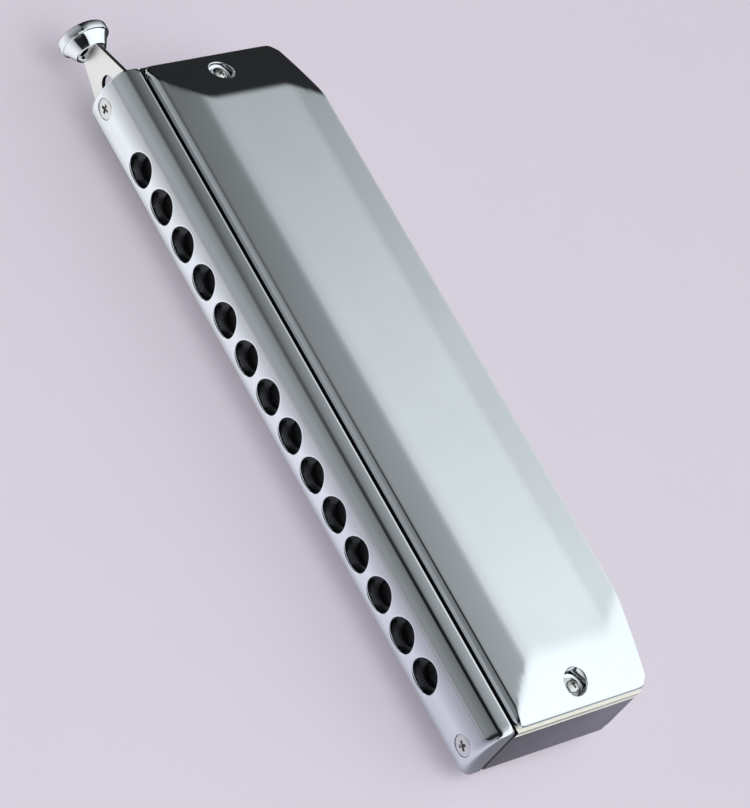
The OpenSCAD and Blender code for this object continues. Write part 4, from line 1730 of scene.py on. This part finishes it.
@dataclass
class Fasteners:
    """All the screws.

    Attributes:
        mouth_x: Distance of a mouthpiece screw from the middle.
        mouth_y: How deep the top of a mouthpiece screw lies.
        cover_x: Distance of a cover screw from the middle.
        cover_y: Distance of a cover screw behind the front of the mouthpiece.
        cover_z: Height of a pocket's floor.
        plate_z: Height of a reed plate's face.
        plate_spots: Places of the reed plate screws.
        mouth_turns: How the crosses of the mouthpiece screws are turned, in degrees.
        cover_turns: The same for the two screws of a cover.
        plate_turn: Angle from one reed plate screw to the next, in degrees.
    """

    mouth_x: float = 75.2
    mouth_y: float = 0.18
    cover_x: float = 73.35
    cover_y: float = 23.7
    cover_z: float = 8.1
    plate_z: float = 7.3
    plate_spots: tuple = ((-67.6, 13.0), (-67.6, 35.5), (67.6, 13.0), (67.6, 35.5), (-46.0, 36.7),
                          (-10.0, 36.7))
    mouth_turns: tuple[float, float] = (20.0, 65.0)
    cover_turns: tuple[float, float] = (35.0, 10.0)
    plate_turn: float = 37.0

    def turned(self, turn: float) -> Matrix:
        """Gives a screw's turn about its own axis, in degrees."""
        return Matrix.Rotation(math.radians(turn), 4, "Z")

    def stand(self, x: float, y: float, z: float, turn: float, lower: bool) -> Matrix:
        """Gives the place of a screw whose head points away from the middle plane."""
        flip = Matrix.Rotation(math.pi, 4, "X") if lower else Matrix.Identity(4)
        return Matrix.Translation((x, y, -z if lower else z)) @ flip @ self.turned(turn)

    def build(self) -> None:
        """Builds the five sets of screws."""
        facing = Matrix.Rotation(math.pi / 2, 4, "X")
        mouth = [Matrix.Translation((x, self.mouth_y, 0)) @ facing @ self.turned(turn)
                 for x, turn in zip((-self.mouth_x, self.mouth_x), self.mouth_turns)]
        COUNTERSUNK.set_in("mouthpiece_cross_screws", mouth, "mouthpiece_screws")
        for lower, side in ((False, "upper"), (True, "lower")):
            covers = [self.stand(x, self.cover_y, self.cover_z, turn, lower)
                      for x, turn in zip((-self.cover_x, self.cover_x), self.cover_turns)]
            COVER_SCREW.set_in(side + "_cover_cross_screws", covers, side + "_cover_screws")
            plates = [self.stand(x, y, self.plate_z, self.plate_turn * index, lower)
                      for index, (x, y) in enumerate(self.plate_spots)]
            PLATE_SCREW.set_in(side + "_plate_cross_screws", plates, side + "_plate_screws")


# Slide and button


@dataclass
class SlideWork:
    """The slide, its button, its guide plates, its sleeves and its spring.

    Attributes:
        neck_x: Where the button meets the slide's arm.
        axis_y: The middle of the slide's thickness.
        profile: Pairs of radius and distance from the neck, from the recess to the outer face.
        bore: Half sizes across Y and along Z of the blind bore in the recess, and its distance from the axis.
        bore_x: Where the bore ends and where its cutter starts, from the neck.
        slit: Depth, half thickness and half height of the slit that holds the arm.
        before: How far the slit's cutter starts before the neck.
        blade_edge: Width of the rounding on the slide's edges.
        plate_edge: The same on the guide plates and the sleeves.
        wire_edge: The same on the spring.
        faces: Number of faces round the button.
        bore_faces: Number of faces round its bore.
        sharp: The angle above which an edge of the button stays sharp, in degrees.
    """

    neck_x: float = -88.75
    axis_y: float = 4.3
    profile: tuple = (
        (0.0, 0.6), (2.5, 0.6), (2.7, 0.54), (2.8, 0.38), (2.8, 0.12), (2.87, 0.02), (3.0, 0.0), (3.2, 0.0),
        (3.34, 0.04), (3.42, 0.14), (3.9, 1.02), (4.4, 1.9), (4.78, 2.5), (4.86, 2.6), (4.98, 2.66),
        (5.14, 2.7), (5.25, 2.8), (5.3, 2.96), (5.3, 3.6), (5.3, 4.24), (5.25, 4.45), (5.12, 4.59),
        (4.9, 4.65), (4.4, 4.6), (3.0, 4.5), (0.0, 4.46),
    )
    bore: tuple[float, float, float] = (0.8, 1.5, 1.5)
    bore_x: tuple[float, float] = (-2.4, 0.5)
    slit: tuple[float, float, float] = (3.1, 0.49, 2.2)
    before: float = 1.0
    blade_edge: float = 0.07
    plate_edge: float = 0.06
    wire_edge: float = 0.05
    faces: int = 128
    bore_faces: int = 48
    sharp: float = 28.0

    def build(self) -> None:
        """Builds every piece that the slide needs."""
        slide = edged_copy("slide_blade", "slide", self.blade_edge)
        settle(slide, ARM_PLATING, Body.SLIDE, ["slide"], "slide_plating")
        bm = spun(list(self.profile), self.faces)
        place = Matrix.Translation((self.neck_x, self.axis_y, 0)) @ Matrix.Rotation(-math.pi / 2, 4, "Y")
        bmesh.ops.transform(bm, matrix=place, verts=bm.verts)
        button = finished("button_cap", carve(bm, [self.slotted(), self.bored()]), self.sharp)
        settle(button, BUTTON_CHROME, Body.SLIDE, ["button"], "chrome")
        for name, node, finish, slot in (
            ("front_guide_sheet", "front_guide_plate", BLACK_RESIN, "black_resin"),
            ("rear_guide_sheet", "rear_guide_plate", GUIDE_STEEL, "guide_steel"),
            ("stop_sleeves", "screw_sleeves", SLEEVE_RESIN, "sleeve_plastic"),
        ):
            settle(edged_copy(name, node, self.plate_edge), finish, Body.HARMONICA, [node], slot)
        spring = edged_copy("hairpin_spring", "slide_spring", self.wire_edge)
        settle(spring, SPRING_STEEL, Body.HARMONICA, ["slide_spring"], "spring_steel")
        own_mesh(spring)

    def slotted(self) -> BMesh:
        """Makes the solid that is cut out of the button for the arm."""
        depth, half_y, half_z = self.slit
        return block((self.neck_x - depth, self.axis_y - half_y, -half_z),
                     (self.neck_x + self.before, self.axis_y + half_y, half_z))

    def bored(self) -> BMesh:
        """Makes the solid that is cut out of the button for its blind bore.

        Returns:
            The closed solid.
        """
        half_y, half_z, aside = self.bore
        end, start = self.bore_x
        bm = spun([(0.0, end), (1.0, end), (1.0, start), (0.0, start)], self.bore_faces)
        turn = Matrix.Rotation(math.pi / 2, 4, "Y")
        stretch = Matrix.Diagonal((1.0, half_y, half_z, 1.0))
        place = Matrix.Translation((self.neck_x, self.axis_y - aside, 0)) @ stretch @ turn
        bmesh.ops.transform(bm, matrix=place, verts=bm.verts)
        return bm


# Comb and reed plates


@dataclass
class Core:
    """The comb, the gaskets, the reed plates and all that is fixed to them.

    Attributes:
        comb_edge: Width of the rounding on the comb's edges.
        plate_edge: The same on the gaskets and the reed plates.
        reed_edge: The same on the reeds.
        rivet_edge: The same on the rivets.
        valve_edge: The same on the valves.
    """

    comb_edge: float = 0.12
    plate_edge: float = 0.1
    reed_edge: float = 0.05
    rivet_edge: float = 0.08
    valve_edge: float = 0.03

    def build(self) -> None:
        """Builds the pieces between the covers."""
        comb = edged_copy("comb_moulding", "comb", self.comb_edge)
        settle(comb, COMB_RESIN, Body.HARMONICA, ["comb"], "comb_resin")
        for side in ("upper", "lower"):
            for name, node, finish, slot, width in (
                ("_gasket_sheet", "_gasket", GASKET_RUBBER, "gasket_cream", self.plate_edge),
                ("_reed_plate_sheet", "_reed_plate", PLATE_BRASS, "plate_brass", self.plate_edge),
                ("_draw_reed_set", "_draw_reeds", REED_BRASS, "reed_brass", self.reed_edge),
                ("_blow_reed_set", "_blow_reeds", REED_BRASS, "reed_brass", self.reed_edge),
                ("_draw_rivet_set", "_draw_rivets", RIVET_BRASS, "rivet_brass", self.rivet_edge),
                ("_blow_rivet_set", "_blow_rivets", RIVET_BRASS, "rivet_brass", self.rivet_edge),
                ("_outer_valve_set", "_outer_valves", VALVE_FILM, "valve_film", self.valve_edge),
                ("_inner_valve_set", "_inner_valves", VALVE_FILM, "valve_film", self.valve_edge),
            ):
                piece = edged_copy(side + name, side + node, width)
                settle(piece, finish, Body.HARMONICA, [side + node], slot)


# Studio


@dataclass(frozen=True)
class Camera:
    """The camera that took the photograph.

    Attributes:
        eye: Its place.
        right: Its right.
        up: Its up.
        back: The direction from the scene to the camera.
        focal: Focal length in pixels.
        frame_h: Height of the photograph in pixels.
        sensor: Side of the sensor in millimetres.
        near: Distance at which it starts to see, in metres.
    """

    eye: tuple = (0.2470, -0.4297, 0.5400)
    right: tuple = (0.4693, 0.7696, 0.4329)
    up: tuple = (-0.8199, 0.1979, 0.5372)
    back: tuple = (0.3277, -0.6071, 0.7239)
    focal: float = 3774.08
    frame_h: float = 808.0
    sensor: float = 36.0
    near: float = 0.01

    def build(self) -> None:
        """Stands the camera where the photograph was taken from."""
        data = bpy.data.cameras.new("camera")
        data.sensor_fit = "VERTICAL"
        data.sensor_width = self.sensor
        data.sensor_height = self.sensor
        data.lens = self.focal / self.frame_h * data.sensor_height
        data.clip_start = self.near
        camera = bpy.data.objects.new("camera", data)
        turn = Matrix((self.right, self.up, self.back)).transposed().to_4x4()
        camera.matrix_world = Matrix.Translation(self.eye) @ turn
        bpy.context.scene.collection.objects.link(camera)
        bpy.context.scene.camera = camera


@dataclass(frozen=True)
class Panels:
    """The world: panels of soft light that the harmonica mirrors, and the plain colour that the camera sees.

    A place is read from the direction in which it lies, with each part from -1 to 1.

    Attributes:
        ceiling_x: Light of the ceiling along X.
        ceiling_y: Its light along Y.
        skew: How far the ceiling leans along X, and how far it is moved along Y.
        wall_x: Light of the wall in front along X.
        wall_z: Its light along Z.
        corner: Where along Y the ceiling ends and where the wall starts.
        beam_y: Where along -Y the middle of the ceiling's dark beam lies.
        beam_half: Distance from its middle at which it ends and at which it is full.
        beam_x: Where it starts along X and where it is full.
        beam_dark: Share of the light that it takes away, below zero.
        tone: The light's colour.
        plain: The colour that the camera sees.
    """

    ceiling_x: Stops = (
        (-1.0, 0.02), (-0.70, 0.026), (-0.62, 0.032), (-0.55, 0.14), (-0.41, 0.50), (-0.37, 0.60),
        (-0.334, 0.74), (-0.297, 0.80), (-0.256, 0.93), (0.0, 1.05), (0.35, 1.22), (1.0, 1.1),
    )
    ceiling_y: Stops = (
        (-0.50, 0.10), (-0.32, 0.17), (-0.175, 0.36), (-0.10, 0.43), (-0.05, 0.48), (0.0, 0.56), (0.05, 0.66),
        (0.10, 0.77), (0.14, 0.86), (0.35, 0.95), (0.6, 1.0), (1.0, 1.0),
    )
    skew: tuple[float, float] = (0.45, 0.15)
    wall_x: Stops = (
        (-1.0, 0.55), (-0.55, 0.46), (-0.42, 0.41), (-0.34, 0.357), (-0.25, 0.25), (0.0, 0.20), (0.2, 0.05),
        (0.35, 0.02), (0.6, 0.02), (0.8, 0.3), (1.0, 0.4),
    )
    wall_z: Stops = ((-1.0, 1.05), (0.15, 1.0), (0.37, 0.86), (0.68, 0.73), (0.85, 0.57), (1.0, 0.5))
    corner: tuple[float, float] = (-0.26, -0.46)
    beam_y: float = 0.38
    beam_half: tuple[float, float] = (0.13, 0.05)
    beam_x: tuple[float, float] = (-0.40, -0.27)
    beam_dark: float = -0.94
    tone: Colour = (0.93, 1.0, 1.035)
    plain: Colour = (0.78, 0.71, 0.80)

    def light(self, tree: Tree) -> NodeSocket:
        """Gives the level of the panels' light in the direction that is looked at.

        Args:
            tree: The world's tree.

        Returns:
            The level's socket.
        """
        x, y, z = tree.parts(tree.add("TexCoord").outputs["Generated"])
        across = tree.math("ADD", y, tree.math("MULTIPLY_ADD", x, *self.skew))
        ceiling = tree.math("MULTIPLY", tree.ramp(x, self.ceiling_x), tree.ramp(across, self.ceiling_y))
        wall = tree.math("MULTIPLY", tree.ramp(x, self.wall_x), tree.ramp(z, self.wall_z))
        front = tree.between(y, *self.corner, smooth=True)
        level = tree.add("Mix", data_type="FLOAT", Factor=front, A=ceiling, B=wall)
        aside = tree.math("ABSOLUTE", tree.math("ADD", y, self.beam_y))
        beam_y = tree.between(aside, *self.beam_half, smooth=True)
        beam_x = tree.between(x, *self.beam_x, high=self.beam_dark, smooth=True)
        beam = tree.math("MULTIPLY_ADD", beam_y, beam_x, 1.0)
        return tree.math("MULTIPLY", level.outputs["Result"], beam)

    def build(self) -> None:
        """Lights the scene with the panels and shows the camera the plain colour."""
        world = bpy.data.worlds.new("studio")
        world.use_nodes = True
        bpy.context.scene.world = world
        tree = Tree(world.node_tree)
        nodes = world.node_tree.nodes
        toned = tree.add("Mix", data_type="RGBA", blend_type="MULTIPLY", Factor=1.0, A=self.light(tree),
                         B=(*self.tone, 1.0))
        panels = tree.set_up(nodes["Background"], Color=toned.outputs["Result"])
        plain = tree.add("Background", Color=(*self.plain, 1.0))
        tree.either("Is Camera Ray", panels, plain, nodes["World Output"].inputs["Surface"])


@dataclass(frozen=True)
class Lamp:
    """One soft lamp over the harmonica.

    Attributes:
        place: Where it hangs. It faces the origin.
        size: Its diameter.
        power: Its power in watts.
    """

    place: tuple = (0.45, -0.15, 0.95)
    size: float = 0.7
    power: float = 5.0

    def build(self) -> None:
        """Hangs the lamp."""
        data = bpy.data.lights.new("soft_lamp", "AREA")
        data.shape = "DISK"
        data.size = self.size
        data.energy = self.power
        lamp = bpy.data.objects.new("soft_lamp", data)
        lamp.location = self.place
        lamp.rotation_mode = "QUATERNION"
        lamp.rotation_quaternion = Vector(self.place).to_track_quat("Z", "Y")
        lamp.visible_glossy = False
        bpy.context.scene.collection.objects.link(lamp)


@dataclass(frozen=True)
class Floor:
    """The pale floor under the harmonica. Mirrors see soft panels in its place.

    Attributes:
        near: Where it touches the front of the lower cover's flat.
        far: Where it touches the lower cover's back edge.
        gap: Distance that it keeps from both.
        half: Half its side.
        mottle: Size of the paint's mottle, per metre.
        paint: The paint's darkest and lightest colour.
        glow: Light that the paint gives off, which lifts its shadows.
        rough: The paint's roughness.
        mirror_y: Light of the panels across the floor.
        mirror_x: Their light along the floor.
        scale_y: Factor from metres across the floor to the places in mirror_y.
        scale_x: Factor from metres along the floor to the places in mirror_x.
        shade_x: Where along X the shade under the button's end starts and where it is full, in metres.
        shade_y: The same across the floor.
        shade_dark: Share of the light that it takes away, below zero.
        tone_x: Where along X the panels' first tone ends and where the second one is full, in metres.
        tones: The two tones.
    """

    near: tuple = (0.0, 15.2, -12.4)
    far: tuple = (0.0, 40.8, -14.1)
    gap: float = 0.05
    half: float = 3000.0
    mottle: float = 900.0
    paint: tuple[Colour, Colour] = ((0.49, 0.437, 0.49), (0.496, 0.443, 0.496))
    glow: Colour = (0.237, 0.219, 0.25)
    rough: float = 0.7
    mirror_y: Stops = (
        (-1.0, 0.38), (-0.27, 0.61), (-0.15, 0.73), (-0.095, 0.86), (-0.065, 0.98), (-0.045, 1.0),
        (-0.005, 0.91), (0.01, 0.67), (0.02, 0.50), (0.03, 0.42), (0.06, 0.30), (0.2, 0.30), (0.3, 0.6),
        (1.0, 0.75),
    )
    mirror_x: Stops = ((-1.0, 1.0), (-0.7, 1.0), (0.0, 0.87), (0.66, 0.66), (1.0, 0.64))
    scale_y: float = 5.0
    scale_x: float = 10.0
    shade_x: tuple[float, float] = (-0.045, -0.060)
    shade_y: tuple[float, float] = (0.0025, 0.0055)
    shade_dark: float = -0.88
    tone_x: tuple[float, float] = (-0.07, 0.07)
    tones: tuple[Colour, Colour] = ((0.97, 1.0, 1.04), (1.0, 1.0, 1.18))

    def build(self) -> None:
        """Lays the floor against the lower cover's back edge and the front of its flat."""
        near, far = Vector(self.near), Vector(self.far)
        bm = bmesh.new()
        bmesh.ops.create_grid(bm, x_segments=24, y_segments=24, size=self.half)
        turn = Vector((0, 1, 0)).rotation_difference((far - near).normalized()).to_matrix().to_4x4()
        place = Matrix.Translation(near - Vector((0, 0, self.gap))) @ turn
        bmesh.ops.transform(bm, matrix=place, verts=bm.verts)
        floor = finished("floor", bm)
        floor.data.materials.append(self.surface())

    def mirrored(self, tree: Tree) -> NodeSocket:
        """Gives the colour that mirrors see in the floor's place.

        Args:
            tree: The floor's tree.

        Returns:
            The colour's socket.
        """
        x, y, _ = tree.parts(tree.spot())
        across = tree.ramp(tree.math("MULTIPLY", y, self.scale_y), self.mirror_y)
        along = tree.ramp(tree.math("MULTIPLY", x, self.scale_x), self.mirror_x)
        shade_x = tree.between(x, *self.shade_x, smooth=True)
        shade_y = tree.between(y, *self.shade_y, high=self.shade_dark, smooth=True)
        shade = tree.math("MULTIPLY_ADD", shade_x, shade_y, 1.0)
        level = tree.math("MULTIPLY", tree.math("MULTIPLY", across, along), shade)
        return tree.scaled(tree.tint(tree.between(x, *self.tone_x), *self.tones), level)

    def surface(self) -> Material:
        """Makes the floor's paint, with the panels that only mirrors see in it.

        Returns:
            The material.
        """
        material, tree, shader = new_surface("pale_floor")
        texture = tree.grained(self.mottle, Axis.NONE)
        colour = tree.tint(texture.outputs["Mottle"], *self.paint)
        tree.set_up(shader, Roughness=self.rough, Base_Color=colour, Emission_Color=(*self.glow, 1.0),
                    Emission_Strength=1.0)
        panels = tree.add("Emission", Color=self.mirrored(tree))
        output = material.node_tree.nodes["Material Output"]
        tree.either("Is Glossy Ray", shader, panels, output.inputs["Surface"])
        return material


@dataclass(frozen=True)
class Studio:
    """The camera, the lights and the floor.

    Attributes:
        view: How light is shown in the picture.
    """

    view: str = "Standard"

    def build(self) -> None:
        """Builds the studio."""
        Camera().build()
        Panels().build()
        Lamp().build()
        Floor().build()
        bpy.context.scene.view_settings.view_transform = self.view


def main() -> None:
    """Builds the harmonica and its studio."""
    logging.basicConfig(level=logging.INFO, format="%(message)s")
    Mouthpiece().build()
    cover = Cover()
    cover.build(upper=True)
    cover.build(upper=False)
    Fasteners().build()
    SlideWork().build()
    Core().build()
    Studio().build()


if __name__ == "__main__":
    main()
